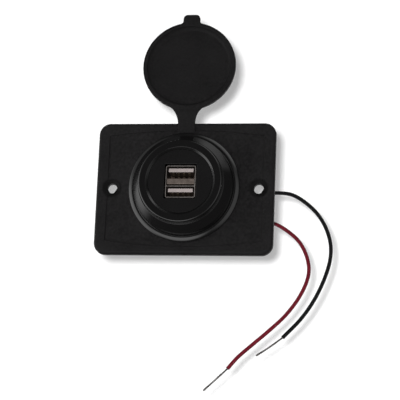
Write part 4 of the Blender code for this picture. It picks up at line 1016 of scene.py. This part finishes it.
def makeBackdrop(s):
    clearSelection()
    x, z = s["middle"]
    place = (x * mm, s["backdropY"] * mm, z * mm)
    bpy.ops.mesh.primitive_plane_add(size=mm, location=place, rotation=(math.pi / 2, 0, 0))
    bpy.ops.transform.resize(value=(s["size"][0], 1, s["size"][1]), center_override=place)
    backdrop = namePiece("backdrop")
    applyPlace(backdrop)
    material, tree, shader = nodeTree("whiteBackdrop")
    shader.inputs["Base Color"].default_value = (s["albedo"], s["albedo"], s["albedo"], 1)
    shader.inputs["Roughness"].default_value = s["rough"]
    shader.inputs["Specular IOR Level"].default_value = 0.0
    # it glows a little for the camera, gloss and glass, and is clear from behind
    rays = tree.nodes.new("ShaderNodeLightPath")
    seen = addNode(tree, "ShaderNodeMath", {"operation": "MAXIMUM"})
    tree.links.new(rays.outputs["Is Camera Ray"], seen.inputs[0])
    tree.links.new(rays.outputs["Is Glossy Ray"], seen.inputs[1])
    either = addNode(tree, "ShaderNodeMath", {"operation": "MAXIMUM"})
    tree.links.new(seen.outputs[0], either.inputs[0])
    tree.links.new(rays.outputs["Is Transmission Ray"], either.inputs[1])
    glow = addNode(tree, "ShaderNodeMath", {"operation": "MULTIPLY"})
    tree.links.new(either.outputs[0], glow.inputs[0])
    glow.inputs[1].default_value = s["glow"]
    shader.inputs["Emission Color"].default_value = (1, 1, 1, 1)
    tree.links.new(glow.outputs[0], shader.inputs["Emission Strength"])
    faceSide = tree.nodes.new("ShaderNodeNewGeometry")
    clear = tree.nodes.new("ShaderNodeBsdfTransparent")
    mix = tree.nodes.new("ShaderNodeMixShader")
    tree.links.new(faceSide.outputs["Backfacing"], mix.inputs["Fac"])
    tree.links.new(shader.outputs["BSDF"], mix.inputs[1])
    tree.links.new(clear.outputs["BSDF"], mix.inputs[2])
    tree.links.new(mix.outputs["Shader"], tree.nodes["Material Output"].inputs["Surface"])
    dress(backdrop, material)
    return backdrop


backdrop = makeBackdrop(stageSettings)

worldSettings = {
    "room": 0.04, "background": 1.0,
    "core": 0.99,  # the cosine within which a light has its full strength
    # each soft light of the room: the way to it, how far it reaches in degrees, and its strength
    "lights": {
        "lowLeft": ((-0.9, -0.4, -0.22), 40, 1.15),
        "low": ((-0.2, -0.78, -0.57), 31, 1.1),
        "right": ((0.67, -0.74, -0.03), 40, 0.42),
        "topRight": ((0.45, -0.3, 0.84), 30, 0.7),
        "topLeft": ((-0.76, -0.4, 0.48), 38, 0.25),
        "left": ((-0.9, 0.33, 0.1), 40, 0.8),
        "rearTop": ((0.45, 0.3, 0.84), 32, 0.3),
    },
}


def makeWorld(s):
    # white where the camera looks past the backdrop; for all else a dim room with soft lights
    world = bpy.data.worlds.new("studio")
    bpy.context.scene.world = world
    world.use_nodes = True
    tree = world.node_tree
    place = tree.nodes.new("ShaderNodeTexCoord").outputs["Generated"]
    total = None
    for name, (towards, reach, strength) in s["lights"].items():
        side = addNode(tree, "ShaderNodeVectorMath", {"operation": "DOT_PRODUCT", "label": name})
        tree.links.new(place, side.inputs[0])
        side.inputs[1].default_value = Vector(towards).normalized()
        glow = addNode(tree, "ShaderNodeMapRange", {"interpolation_type": "SMOOTHSTEP"})
        tree.links.new(side.outputs["Value"], glow.inputs["Value"])
        glow.inputs["From Min"].default_value = math.cos(math.radians(reach))
        glow.inputs["From Max"].default_value = s["core"]
        glow.inputs["To Max"].default_value = strength
        sumUp = addNode(tree, "ShaderNodeMath", {"operation": "ADD"})
        tree.links.new(glow.outputs["Result"], sumUp.inputs[0])
        sumUp.inputs[1].default_value = s["room"]
        if total:
            tree.links.new(total, sumUp.inputs[1])
        total = sumUp.outputs[0]
    rays = tree.nodes.new("ShaderNodeLightPath")
    level = addNode(tree, "ShaderNodeMix", {"data_type": "FLOAT"}, Factor=rays.outputs["Is Camera Ray"])
    tree.links.new(total, level.inputs["A"])
    level.inputs["B"].default_value = s["background"]
    background = tree.nodes["Background"]
    tree.links.new(level.outputs["Result"], background.inputs["Strength"])
    background.inputs["Color"].default_value = (1, 1, 1, 1)


makeWorld(worldSettings)

# place and size are in metres, power in watts; each lamp is aimed at the socket
lampSettings = {
    "keyLamp": {"at": (0.1112, -0.7812, -0.1753), "size": (0.027, 0.027), "power": 6.7},
    "sideLamp": {"at": (-0.22, -0.2, -0.03), "size": (0.15, 0.15), "power": 0.1},
}


def hangLamp(name, s):
    light = bpy.data.lights.new(name, "AREA")
    light.shape = "RECTANGLE"
    light.size, light.size_y = s["size"]
    light.energy = s["power"]
    lamp = bpy.data.objects.new(name, light)
    bpy.context.scene.collection.objects.link(lamp)
    back = Vector(s["at"]).normalized()
    side = Vector((-back.y, back.x, 0)).normalized()
    turn = Matrix((side, back.cross(side), back)).transposed().to_4x4()
    lamp.matrix_world = Matrix.Translation(s["at"]) @ turn
    lamp.visible_camera = False
    lamp.visible_glossy = False


for name, s in lampSettings.items():
    hangLamp(name, s)
print("stage lit")

bpy.context.view_layer.update()
